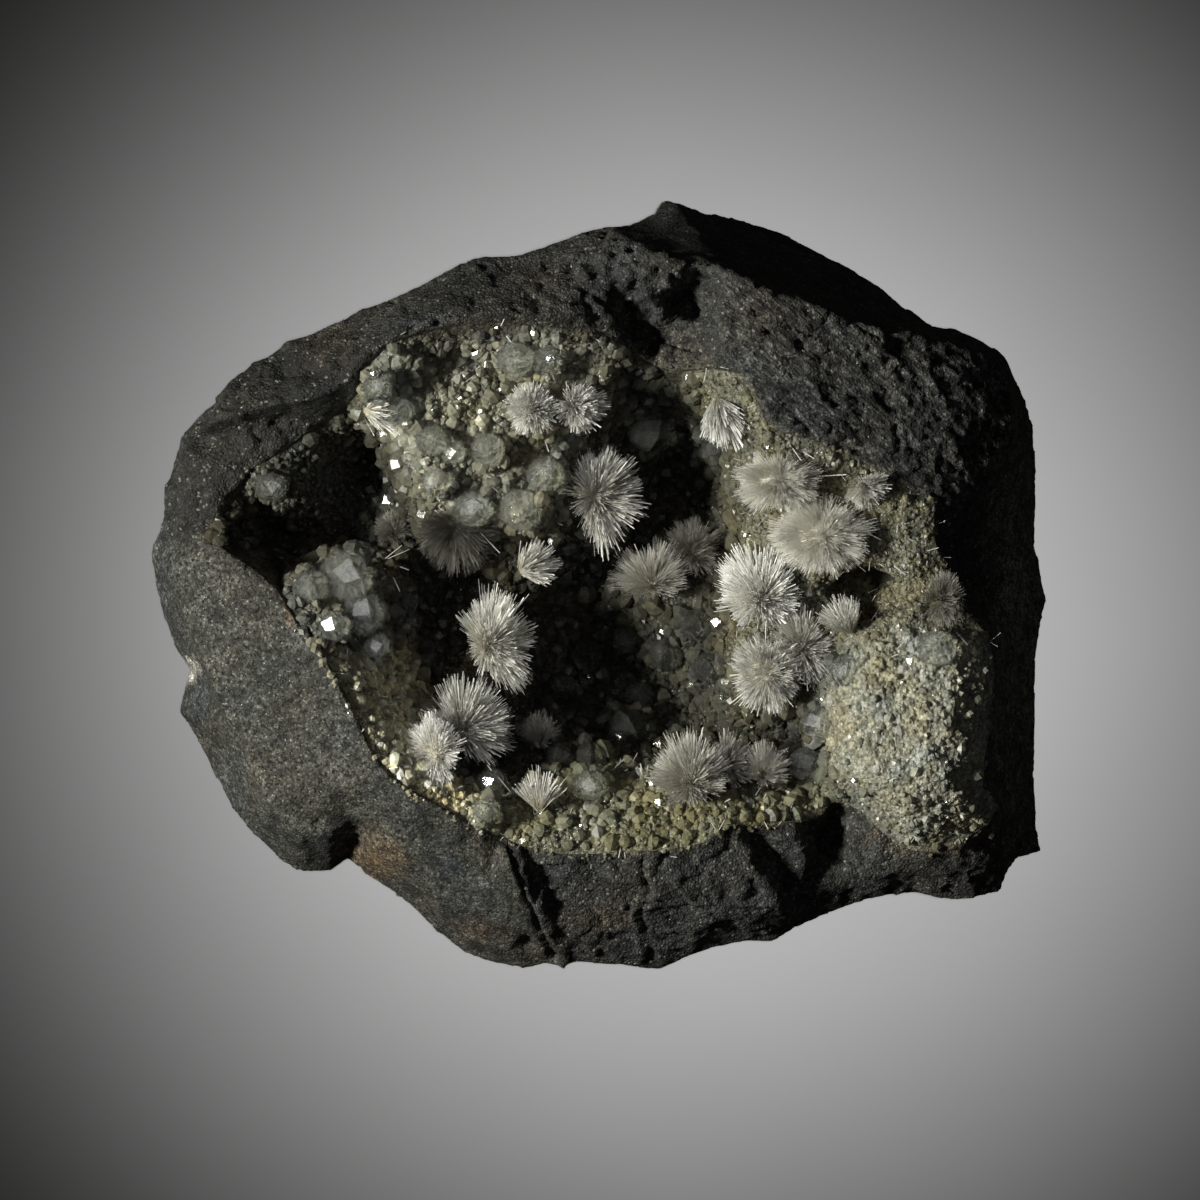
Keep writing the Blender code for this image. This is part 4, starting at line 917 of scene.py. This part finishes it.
class SPECIMEN_OT_basalt(bpy.types.Operator):
    """Build the broken basalt with its hackled faces, cracks and pits"""

    bl_idname = "specimen.basalt"
    bl_label = "Basalt"

    def execute(self, context):
        settings = look("basalt")
        stone = fine_copy("basalt", "basalt_stone", settings.step)
        points, normals = places(stone.data)
        relief, _ = basalt_relief(points, normals, settings.relief)
        lining = tree_of([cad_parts["analcime_crust"]])
        _, away, ahead = nearest_on(lining, points, normals, RIM_REACH)
        covered = (away < RIM_REACH) & ahead
        flat_back = (points[:, 2] < 0.6 * MM) & (normals[:, 2] < -0.6)
        relief *= ~covered & ~flat_back
        points += normals * relief[:, None]
        points[:, 2] = np.where(flat_back, 0, np.maximum(points[:, 2], 0))
        stone.data.vertices.foreach_set("co", points.astype(np.float32).ravel())
        stone.data.update()
        thinned(stone, BASALT_TRIANGLES)
        stone.data.shade_smooth()
        points, normals = places(stone.data)
        _, areas = basalt_relief(points, normals, 1)
        _, away, _ = nearest_on(lining, points, normals, 2 * RIM_REACH)
        coloured(stone.data, "tone", basalt_tones(points, normals, areas, settings, away / MM))
        floor = hole_floor(points)
        pitted = (0.2 + 0.8 * areas["smooth"]) * (1 - floor)
        plain = np.maximum(areas["dark"], 0.8 * floor)
        coloured(stone.data, "marks", np.column_stack([pitted, areas["streaked"], plain]))
        stone.data.materials.append(basalt_material(settings))
        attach(stone, "root")
        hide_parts("basalt")
        return {"FINISHED"}


# The analcime

def area_names(points):
    """The name of the lining's area at every point."""
    spots = to_plan(points)
    noise = Noise(5)
    grid = points / MM
    shaken = spots + 5 * np.column_stack([noise.smooth(grid, 2.5), noise.smooth(grid + 40, 2.5)])
    names = np.full(len(points), "depths", dtype=object)
    for name, loop in reversed(list(LINING_AREAS.items())):
        names[inside(shaken, loop)] = name
    return names


def lining_tones(points):
    """The lining's colour at every point and how dark its pits are, from its areas; the pits' darkness and the lip's
    colour are painted shade, the crumbs' colour painted light.
    """
    noise = Noise(31)
    grid = points / MM
    spots = to_plan(points)
    left = np.ones(len(points))
    tone, pitted = np.zeros((len(points), 3)), np.zeros(len(points))
    for name, loop in LINING_AREAS.items():
        share = left * (1 if name == "depths" else soft_area(spots, loop, 24))
        colour, pits = LINING_TONES[name]
        tone += share[:, None] * np.array(colour)
        pitted += share * pits
        left = left - share
    tone *= (1 + 0.3 * noise.fractal(grid, 4.0, 4))[:, None]
    warm = np.clip(noise.fractal(grid + 70, 6.0, 3), -1, 1)[:, None]
    tone *= 1 + warm * np.array([0.10, 0.03, -0.14])
    return np.clip(tone, 0.008, 0.9), pitted


def crystal_form(directions, tips):
    """Corners and four-sided faces of a crystal form, its faces at distance 1."""
    normals = np.array(sorted(directions), float)
    normals /= np.linalg.norm(normals, axis=1)[:, None]
    corners = np.array([tip / max(normals @ tip) for tip in np.array(tips, float)])
    faces = []
    for normal in normals:
        on_face = np.flatnonzero(corners @ normal > 1 - 1e-6)
        middle = corners[on_face].mean(axis=0)
        across = corners[on_face[0]] - middle
        up = np.cross(normal, across)
        turns = np.arctan2((corners[on_face] - middle) @ up, (corners[on_face] - middle) @ across)
        faces.append(on_face[np.argsort(turns)])
    return corners, np.array(faces)


def leaning(directions, turns):
    """Rotations that turn +Z to each direction, after a turn about it."""
    helper = np.where(np.abs(directions[:, 2:]) < 0.95, (0.0, 0.0, 1.0), (1.0, 0.0, 0.0))
    first = np.cross(helper, directions)
    first /= np.linalg.norm(first, axis=1)[:, None]
    second = np.cross(directions, first)
    cos, sin = np.cos(turns)[:, None], np.sin(turns)[:, None]
    return np.stack([cos * first + sin * second, cos * second - sin * first, directions], axis=2)


SIGNS = tuple(product((1, -1), repeat=3))
AXES = ((1, 0, 0), (-1, 0, 0), (0, 1, 0), (0, -1, 0), (0, 0, 1), (0, 0, -1))
FULL_FORM = ({tuple(a * b for a, b in zip(sign, order))
              for order in ((1, 1, 2), (1, 2, 1), (2, 1, 1)) for sign in SIGNS},
             [tip for tip in product((-1, 0, 1), repeat=3) if any(tip)])
GRAIN_FORM = ({tuple(a * b for a, b in zip(sign, order))
               for order in ((1, 1, 0), (1, 0, 1), (0, 1, 1)) for sign in SIGNS},
              [*SIGNS, *AXES])


def many_crystals(name, form, crystals, materials):
    """Many crystals of one form as one joined mesh, each with its own place, size, lean, colour and finish."""
    corners, faces = crystal_form(*form)
    count = len(crystals["radius"])
    shaped = corners[None] * crystals["stretch"][:, None, :] * crystals["radius"][:, None, None]
    points = np.einsum("nij,nkj->nki", crystals["spin"], shaped) + crystals["centre"][:, None, :]
    joined = faces[None] + (np.arange(count) * len(corners))[:, None, None]
    made = mesh_object(name, points.reshape(-1, 3), joined.reshape(-1, 4), materials[0])
    for material in materials[1:]:
        made.data.materials.append(material)
    made.data.polygons.foreach_set("material_index", np.repeat(crystals["finish"], len(faces)).astype(np.int32))
    coloured(made.data, "tone", np.repeat(crystals["tone"], len(corners), axis=0))
    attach(made, "root")
    return made


class SPECIMEN_OT_lining(bpy.types.Operator):
    """Build the grown analcime crust that lines the vug, sealed to the rock, and open at its hole"""

    bl_idname = "specimen.lining"
    bl_label = "Analcime lining"

    def execute(self, context):
        settings = look("analcime")
        lining = fine_copy("analcime_crust", "analcime_lining", settings.step)
        points, normals = places(lining.data)
        rock = tree_of([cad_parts["basalt"]])
        rocks, away, ahead = nearest_on(rock, points, normals)
        away = np.maximum(away, WELD)
        top = np.clip((away / MM - 0.3) / 0.6, 0, 1) * ~ahead
        for centre, radius, *_ in LARGE_CRYSTALS:
            reach = np.linalg.norm(np.array(centre) * MM - points, axis=1)
            within = np.clip((1.32 * radius * MM - reach) / (0.25 * radius * MM), 0, 1)
            within *= np.clip((away / MM - 0.9) / 0.8, 0, 1) * (normals[:, 2] > -0.2)
            foot = np.array(centre) * MM - np.array((0, 0, 0.65 * radius * MM))
            points += (foot - points) * (0.75 * within)[:, None]
        noise = Noise(41)
        grid = points / MM
        lumps = np.array([LINING_LUMPS[name] for name in area_names(points)])
        near, after, _, values = noise.cells(grid, 1.05)
        bumps = 0.42 * np.clip(after - near, 0, 0.7) * (0.5 + values[:, 3])
        bumps += 0.20 * noise.fractal(grid, 2.6, 3) + 0.20 * noise.facets(grid, 0.9)
        points += normals * (np.maximum(bumps * lumps, -0.25) * top * MM)[:, None]
        sealed = np.clip((0.9 - away / MM) / 0.4, 0, 1)
        edge = in_hole(points) + 0.12 * noise.smooth(grid, 1.5)
        sealed = np.maximum(sealed, np.clip((1.06 - edge) / 0.16, 0, 1))
        points += (rocks - points) * (sealed * (1 + 0.25 * MM / away))[:, None]
        lining.data.vertices.foreach_set("co", points.astype(np.float32).ravel())
        lining.data.update()
        thinned(lining, LINING_TRIANGLES)
        lining.data.shade_flat()
        points, _ = places(lining.data)
        inner = np.zeros(len(points))
        for centre, radius, *_ in LARGE_CRYSTALS:
            reach = np.linalg.norm(points - np.array(centre) * MM, axis=1) / (radius * MM)
            inner = np.maximum(inner, np.clip((1.15 - reach) / 0.15, 0, 1))
        for face in lining.data.polygons:
            face.use_smooth = bool(inner[list(face.vertices)].min() > 0.5)
        tones, pitted = lining_tones(points)
        coloured(lining.data, "tone", tones)
        coloured(lining.data, "pitted", np.column_stack([pitted * (1 - inner), inner, pitted]))
        lining.data.materials.append(lining_material(settings))
        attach(lining, "root")
        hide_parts("analcime_crust")
        return {"FINISHED"}


def growing_places():
    """Points of the lining's outer side with their directions, and which area each is in."""
    points, normals = places(bpy.data.objects["analcime_lining"].data)
    rock = tree_of([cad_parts["basalt"]])
    _, away, ahead = nearest_on(rock, points, normals)
    outer = (away > 0.45 * MM) & ~ahead & (normals[:, 2] > -0.35) & (in_hole(points) > 1.0)
    for centre, radius, *_ in LARGE_CRYSTALS:
        outer &= np.linalg.norm(points - np.array(centre) * MM, axis=1) > 0.95 * radius * MM
    points, normals = points[outer], normals[outer]
    return points, normals, area_names(points)


def rim_places():
    """Points of the rock just outside the lining, with their directions."""
    points, normals = places(bpy.data.objects["basalt_stone"].data)
    rng = np.random.default_rng(12)
    _, away, ahead = nearest_on(tree_of([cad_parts["analcime_crust"]]), points, normals, RIM_REACH)
    patchy = np.clip(0.5 + 0.9 * Noise(13).fractal(points / MM, 2.2, 3), 0, 1)
    near = (away < RIM_REACH * patchy * rng.random(len(points))) & ~ahead & (normals[:, 2] > 0)
    near &= (in_hole(points) > 1.2) & ~inside(to_plan(points), BARE_LIP)
    return points[near], normals[near]


def slope_places():
    """Points of the rock that the crust leaves bare among the crumbs, with their directions."""
    points, normals = places(bpy.data.objects["basalt_stone"].data)
    there = inside(to_plan(points), CRUMB_SLOPE) & (normals[:, 2] > -0.3)
    points, normals = points[there], normals[there]
    _, away, ahead = nearest_on(tree_of([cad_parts["analcime_crust"]]), points, normals)
    bare = ~(ahead & (away < 3 * RIM_REACH))
    return points[bare], normals[bare]


def spaced(points, spacing, rng):
    """One random point for each cube of the given spacing."""
    order = rng.permutation(len(points))
    cubes = np.floor(points[order] / spacing + rng.random(3)).astype(np.int64)
    _, first = np.unique(cubes, axis=0, return_index=True)
    return np.sort(order[first])


class SPECIMEN_OT_crystals(bpy.types.Operator):
    """Grow the larger clear crystals and the many small ones on the lining"""

    bl_idname = "specimen.crystals"
    bl_label = "Analcime crystals"

    def execute(self, context):
        settings = look("analcime")
        clear = crystal_material("analcime_clear", settings, 0.96, settings.density)
        glassy = crystal_material("analcime_glassy", settings, 0.5, 0, 0.05)
        milky = crystal_material("analcime_milky", settings, 0.12, 0, 0.3)
        self.large(settings, clear)
        rng = np.random.default_rng(3)
        points, normals, names = growing_places()
        for area, (medium, fine) in LINING_CRYSTALS.items():
            there = np.flatnonzero(names == area)
            for size, form, row in (("medium", FULL_FORM, medium), ("fine", GRAIN_FORM, fine)):
                crystals = self.small(points[there], normals[there], row, settings, rng)
                many_crystals(f"analcime_{size}_{area}", form, crystals, (milky, glassy))
        rim = self.small(*rim_places(), RIM_GRAINS, settings, rng)
        many_crystals("analcime_fine_rim", GRAIN_FORM, rim, (milky, glassy))
        points, normals = slope_places()
        for size, row in CRUMB_GRAINS.items():
            crumbs = self.small(points, normals, row, settings, rng)
            many_crystals(f"analcime_{size}_slope", GRAIN_FORM, crumbs, (milky, glassy))
        return {"FINISHED"}

    def small(self, points, normals, row, settings, rng):
        """Small crystals on some of the given points, as the arrays that many_crystals takes."""
        spacing, least, most, clear_share = row
        chosen = spaced(points, spacing * MM, rng)
        count = len(chosen)
        radius = (least + (most - least) * rng.random(count) ** 1.7) * MM
        direction = normals[chosen] + rng.normal(scale=0.5, size=(count, 3))
        direction /= np.linalg.norm(direction, axis=1)[:, None]
        clear = rng.random(count) < clear_share
        # The small crystals take the lining's colour where they grow, with the lip's painted shade and the crumbs'
        # painted light
        own, _ = lining_tones(points[chosen])
        warm = rng.random((count, 1)) * np.array([0.0, 0.03, 0.10])
        tone = own * 1.1 * (1 - warm) * rng.uniform(0.85, 1.15, (count, 1))
        light = own.max(axis=1, keepdims=True)
        white = rng.random((count, 1)) < WHITE_SHARE
        tone = np.where(white, 1.5 * light * np.array(settings.milky_colour[:]) / max(settings.milky_colour), tone)
        glass = own / light * max(settings.clear_colour) * rng.uniform(0.85, 1.1, (count, 1)) * light**0.6
        return {
            "centre": points[chosen] + normals[chosen] * (radius * rng.uniform(-0.75, 0.05, count))[:, None],
            "radius": radius,
            "spin": leaning(direction, rng.uniform(0, math.tau, count)),
            "stretch": rng.uniform(0.75, 1.25, (count, 3)),
            "finish": clear.astype(int),
            "tone": np.clip(np.where(clear[:, None], glass, tone), 0.01, 0.95),
        }

    def large(self, settings, material):
        """The larger crystals, in two pieces: those that the light of the clear faces reaches, and the rest."""
        rng = np.random.default_rng(8)
        table = [(*centre, radius, turn, way, tilt) for centre, radius, turn, way, tilt in LARGE_CRYSTALS]
        table = np.array(table, float)
        way, tilt = np.radians(table[:, 5]), np.radians(table[:, 6])
        directions = np.column_stack([np.cos(way) * np.sin(tilt), np.sin(way) * np.sin(tilt), np.cos(tilt)])
        stretch = rng.uniform(0.93, 1.07, (len(table), 3))
        spins = leaning(directions, np.radians(table[:, 4]))
        mirror = np.array(key_direction() + Vector((0, 0, 1)))[None]
        mirror /= np.linalg.norm(mirror)
        face = np.array([(1, 1, 2)]) / math.sqrt(6)
        for number in MIRRORING:
            turned = leaning(mirror, np.radians(table[number:number + 1, 4]))[0]
            spins[number] = turned @ leaning(face, np.zeros(1))[0].T
            stretch[number] = 1
        tone = np.array(settings.clear_colour[:]) * rng.uniform(0.8, 1.1, (len(table), 1))
        lit = table[:, 2] > LIT_CRYSTALS
        for name, some in (("analcime_large", lit), ("analcime_large_deep", ~lit)):
            many_crystals(name, FULL_FORM, {
                "centre": table[some, :3] * MM,
                "radius": table[some, 3] * LARGE_SHARE * MM,
                "spin": spins[some],
                "stretch": stretch[some],
                "finish": np.zeros(some.sum()),
                "tone": tone[some],
            }, (material,))


# The natrolite

def sheaf(count, half_angle, rng, noise, clumps):
    """Random directions in a ragged cone about +Z, drawn together into clumps, and the length of each."""
    turn = rng.uniform(0, math.tau, count)
    around = np.column_stack([np.cos(turn), np.sin(turn), 0 * turn])
    ragged = 1 + 0.16 * noise.smooth(around + 9, 0.6)
    polar = math.radians(half_angle) * ragged * np.sqrt(rng.random(count))
    found = np.column_stack([np.sin(polar) * np.cos(turn), np.sin(polar) * np.sin(turn), np.cos(polar)])
    middle = found[rng.integers(0, count, clumps)]
    nearest = np.argmax(found @ middle.T, axis=1)
    found += (middle[nearest] - found) * rng.uniform(0, 0.6, count)[:, None]
    found /= np.linalg.norm(found, axis=1)[:, None]
    return found, rng.uniform(0.8, 1.1, clumps)[nearest] * (1 + 0.16 * noise.smooth(found, 0.7))


def ring(frames, centres, widths, level):
    """Three corners around each needle's axis, at a height along it, or at one height for each corner."""
    points = []
    for number, turn in enumerate((0, math.tau / 3, 2 * math.tau / 3)):
        height = level[number] if isinstance(level, tuple) else level
        local = np.column_stack([math.cos(turn) * widths / 2, math.sin(turn) * widths / 2, height])
        points.append(np.einsum("nij,nj->ni", frames, local) + centres)
    return points


def joined(points, faces):
    """One needle's faces repeated for every needle."""
    points = np.stack(points, axis=1)
    faces = np.array(faces)[None] + (np.arange(len(points)) * points.shape[1])[:, None, None]
    return points.reshape(-1, 3), faces.reshape(-1, 3)


def needle_frames(starts, ends, rng):
    """A frame with its Z along each needle, and each needle's length."""
    along = ends - starts
    lengths = np.linalg.norm(along, axis=1)
    return leaning(along / lengths[:, None], rng.uniform(0, math.tau, len(starts))), lengths


def prisms(starts, ends, widths, rng):
    """Three-sided needles with a slanting end, as points and triangles."""
    frames, lengths = needle_frames(starts, ends, rng)
    low = ring(frames, starts, 0.75 * widths, 0 * widths)
    high = ring(frames, starts, widths, (lengths, lengths - 0.4 * widths, lengths - 1.1 * widths))
    sides = [face for i, j in ((0, 1), (1, 2), (2, 0)) for face in ((i, j, 3 + j), (i, 3 + j, 3 + i))]
    return joined([*low, *high], [(0, 2, 1), (3, 4, 5), *sides])


def splinters(starts, ends, widths, rng):
    """Three-sided needles that widen from a point at the root to a blunt end, as points and triangles."""
    frames, lengths = needle_frames(starts, ends, rng)
    return joined([*ring(frames, starts, widths, lengths), starts], [(0, 1, 2), (0, 3, 1), (1, 3, 2), (2, 3, 0)])


def felt(root, axis, radius, flat, noise):
    """A rough closed heart of matted needles, as flat as its spray."""
    shape = bmesh.new()
    bmesh.ops.create_icosphere(shape, subdivisions=3, radius=1)
    points = np.array([v.co[:] for v in shape.verts])
    faces = np.array([[v.index for v in face.verts] for face in shape.faces])
    shape.free()
    grown = radius * (1 + 0.22 * noise.smooth(points, 0.25) + 0.15 * noise.smooth(points, 0.8))
    return root + axis * radius * 0.15 + points * grown[:, None] * flat, faces


def stopped(starts, directions, lengths, around):
    """Lengths cut where a needle would run into what is around it."""
    reach = []
    for start, direction, length in zip(starts, directions, lengths):
        away = around.ray_cast(Vector(start), Vector(direction), length)[3]
        reach.append(length if away is None else away + 0.1 * MM)
    return np.array(reach)


class SPECIMEN_OT_sprays(bpy.types.Operator):
    """Grow every natrolite spray from its root, as thick needles, fine hairs and a matted heart"""

    bl_idname = "specimen.sprays"
    bl_label = "Natrolite sprays"

    def execute(self, context):
        settings = look("natrolite")
        finishes = {
            name: needle_material("natrolite_" + name, settings, getattr(settings, colour), clearness, roughness)
            for name, (colour, clearness, roughness) in NEEDLE_FINISHES.items()
        }
        finishes["cotton"] = finishes["hazy"]
        around = tree_of([bpy.data.objects["basalt_stone"], bpy.data.objects["analcime_lining"]])
        for number, entry in enumerate(SPRAYS):
            self.spray(entry, finishes, around, settings, np.random.default_rng(100 + number), Noise(number))
        self.loose(finishes["clear"], around, np.random.default_rng(90))
        return {"FINISHED"}

    def spray(self, entry, finishes, around, settings, rng, noise):
        """One spray as one mesh, its needles cut where they would run into the rock or the lining."""
        name, root, length, turn, tilt, half_angle, wide, high, needles, hairs, heart, finish = entry
        root, length = np.array(root) * MM, length * MM
        turn, tilt = math.radians(turn), math.radians(tilt)
        axis = np.array([math.cos(turn) * math.cos(tilt), math.sin(turn) * math.cos(tilt), math.sin(tilt)])
        spin = leaning(axis[None], np.zeros(1))[0]
        flat = np.array([wide, high, 1.0])
        points, faces, start = [], [], 0
        fineness, *hair_reach = HAIRS[finish]
        kinds = [(needles, prisms, settings.needle_width, NEEDLE_REACH, max(3, needles // 9)),
                 (hairs, splinters, settings.hair_width * fineness, hair_reach, max(4, hairs // 50))]
        for count, shape, width, (least, most), clumps in kinds:
            if not count:
                continue
            directions, share = sheaf(count, half_angle, rng, noise, clumps)
            directions = directions @ spin.T * flat
            share = share * np.linalg.norm(directions, axis=1)
            directions /= np.linalg.norm(directions, axis=1)[:, None]
            reach = length * np.minimum(share * rng.uniform(least, most, count), 1.05)
            begin = reach * rng.uniform(0.02, 0.3, count)
            starts = root + rng.normal(scale=0.03 * length, size=(count, 3)) + directions * begin[:, None]
            reach = stopped(starts, directions, reach - begin, around)
            keep = reach > 0.15 * length
            starts, directions, reach = starts[keep], directions[keep], reach[keep]
            widths = width * rng.uniform(0.55, 1.3, len(starts))
            made = shape(starts, starts + directions * reach[:, None], widths, rng)
            points.append(made[0])
            faces.append(made[1] + start)
            start += len(made[0])
        if heart:
            made = felt(root, axis, heart * length, flat, noise)
            points.append(made[0])
            faces.append(made[1] + start)
        points, faces = np.concatenate(points), np.concatenate(faces)
        grown = mesh_object("natrolite_needles_" + name, points, faces, finishes[finish])
        out = np.clip(np.linalg.norm(points - root, axis=1) / length / 0.55 - 0.25, 0, 1)[:, None]
        out[start:] = 0.2
        if finish == "cotton":
            out = np.maximum(out, 0.6)
        tone = np.array(settings.root_colour[:]) * (1 - out) + out
        # The spray's whole colour is darkened by its painted shade
        coloured(grown.data, "tone", tone * SPRAY_PAINTED_SHADE.get(name, 1.0))
        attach(grown, "root")
        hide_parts("natrolite_spray_" + name)

    def loose(self, material, around, rng):
        """Single needles that lie across the sprays, and short ones scattered on the lining."""
        top = Vector((0, 0, 0.1))
        starts, ends, widths = [], [], []
        for x0, y0, lift, x1, y1, rise, width in LOOSE_NEEDLES:
            foot = around.ray_cast(top + Vector((*plan(x0, y0), 0)), Vector((0, 0, -1)))[0]
            start = foot + Vector((0, 0, lift * MM))
            starts.append(start)
            ends.append((*plan(x1, y1), start.z + rise * MM))
            widths.append(width * MM)
        for name, count in SCATTERED_NEEDLES.items():
            loop = np.array(LINING_AREAS[name], float)
            spots = rng.uniform(loop.min(axis=0), loop.max(axis=0), (4 * count, 2))
            for x, y in spots[inside(spots, loop)][:count]:
                foot, normal, _, _ = around.ray_cast(top + Vector((*plan(x, y), 0)), Vector((0, 0, -1)))
                way = normal + Vector(rng.normal(scale=0.8, size=3))
                starts.append(foot)
                ends.append(foot + way.normalized() * rng.uniform(0.6, 1.9) * MM)
                widths.append(rng.uniform(0.05, 0.13) * MM)
        points, faces = prisms(np.array(starts), np.array(ends), np.array(widths), rng)
        grown = mesh_object("natrolite_loose_needles", points, faces, material)
        coloured(grown.data, "tone", np.ones((len(points), 3)))
        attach(grown, "root")


# The stage

def placed(name, data, place):
    """A light or a camera in the scene."""
    made = bpy.data.objects.new(name, data)
    made.location = place
    bpy.context.scene.collection.objects.link(made)
    return made


def lights_only(lamp, objects):
    """Let a light fall on some objects alone."""
    group = bpy.data.collections.new(lamp.name + "_receivers")
    for item in objects:
        group.objects.link(item)
    lamp.light_linking.receiver_collection = group


def soft_light(name, power, size, place, lit):
    """A square soft light turned to the specimen's middle, which falls on some objects alone."""
    data = bpy.data.lights.new(name, "AREA")
    data.energy = power
    data.size = size
    lamp = placed(name, data, place)
    lamp.rotation_euler = (SPECIMEN_MIDDLE - Vector(place)).to_track_quat("-Z", "Y").to_euler()
    lights_only(lamp, lit)
    return lamp


class SPECIMEN_OT_stage(bpy.types.Operator):
    """Set the plain floor, the soft lights and the camera"""

    bl_idname = "specimen.stage"
    bl_label = "Stage"

    def execute(self, context):
        settings = look("stage")
        scene = context.scene
        shown = [item for item in scene.objects if item.type == "MESH"]
        floor = self.floor(settings)

        key_place = SPECIMEN_MIDDLE + key_direction() * KEY_DISTANCE
        key = soft_light("key", settings.key_power, KEY_SIZE, key_place, shown)
        key.data.color = KEY_COLOUR
        soft_light("fill", settings.fill_power, FILL_SIZE, FILL_PLACE, shown)
        needles = [item for item in shown if item.name.startswith("natrolite")]
        soft_light("needle_light", settings.needle_power, NEEDLE_LIGHT_SIZE, UPPER_LEFT, needles)
        crystals = [bpy.data.objects["analcime_large"]]
        soft_light("crystal_light", settings.crystal_power, CRYSTAL_LIGHT_SIZE, UPPER_LEFT, crystals)
        data = bpy.data.lights.new("floor_light", "SPOT")
        data.energy = settings.floor_power
        data.spot_size = 2 * math.atan(FLOOR_LIGHT_REACH * UNIT / FLOOR_LIGHT_HEIGHT)
        data.spot_blend = 1.0
        data.shadow_soft_size = FLOOR_LIGHT_SIZE
        lights_only(placed("floor_light", data, (*plan(*FLOOR_LIGHT_AIM), FLOOR_LIGHT_HEIGHT)), [floor])

        world = bpy.data.worlds.new("studio")
        world.use_nodes = True
        world.node_tree.nodes["Background"].inputs["Color"].default_value = WORLD_COLOUR
        world.node_tree.nodes["Background"].inputs["Strength"].default_value = WORLD_STRENGTH
        scene.world = world
        scene.view_settings.view_transform = "Standard"

        lens = bpy.data.cameras.new("camera")
        lens.lens = settings.lens
        lens.sensor_width = SENSOR_WIDTH
        lens.clip_end = 20
        height = PHOTO_SIDE * UNIT * settings.lens / lens.sensor_width
        frame_centre = plan(PHOTO_SIDE / 2, PHOTO_SIDE / 2)
        scene.camera = placed("camera", lens, (*frame_centre, height + CAMERA_DATUM))
        return {"FINISHED"}

    def floor(self, settings):
        """The plain floor, just under the specimen, which neither lights it nor shows in it."""
        plain = Finish("plain_floor")
        cloud = plain.ranged(plain.grain(40, 2), 0.3, 0.7, 0.985, 1.015)
        material = plain.finished({"Base Color": plain.tinted(settings.floor_colour, cloud), "Roughness": 0.9})
        corners = FLOOR_REACH * np.array([(-1, -1, 0), (1, -1, 0), (1, 1, 0), (-1, 1, 0)])
        floor = mesh_object("floor", corners, np.array([[0, 1, 2, 3]]), material)
        floor.location.z = -0.02 * MM
        floor.visible_diffuse = False
        floor.visible_glossy = False
        return floor


class SPECIMEN_PT_panel(bpy.types.Panel):
    """The specimen's pieces, in the order in which they are built"""

    bl_idname = "SPECIMEN_PT_panel"
    bl_label = "Natrolite with analcime"
    bl_space_type = "VIEW_3D"
    bl_region_type = "UI"
    bl_category = "Specimen"

    def draw(self, context):
        for name, operators in PANEL_ROWS:
            box = self.layout.box()
            settings = look(name)
            for key in settings.bl_rna.properties.keys():
                if key not in ("rna_type", "name"):
                    box.prop(settings, key)
            for operator in operators:
                box.operator(operator.bl_idname)


PANEL_ROWS = (
    ("basalt", (SPECIMEN_OT_basalt,)),
    ("analcime", (SPECIMEN_OT_lining, SPECIMEN_OT_crystals)),
    ("natrolite", (SPECIMEN_OT_sprays,)),
    ("stage", (SPECIMEN_OT_stage,)),
)
LOOKS = {"basalt": BasaltLook, "analcime": AnalcimeLook, "natrolite": NatroliteLook, "stage": StageLook}
CLASSES = (*LOOKS.values(), *(operator for _, row in PANEL_ROWS for operator in row), SPECIMEN_PT_panel)


def register():
    for item in CLASSES:
        bpy.utils.register_class(item)
    for name, group in LOOKS.items():
        setattr(bpy.types.Scene, "specimen_" + name, PointerProperty(type=group))


def unregister():
    for name in LOOKS:
        delattr(bpy.types.Scene, "specimen_" + name)
    for item in reversed(CLASSES):
        bpy.utils.unregister_class(item)


def main():
    register()
    bpy.ops.specimen.basalt()
    bpy.ops.specimen.lining()
    bpy.ops.specimen.crystals()
    bpy.ops.specimen.sprays()
    bpy.ops.specimen.stage()


if __name__ == "__main__":
    main()
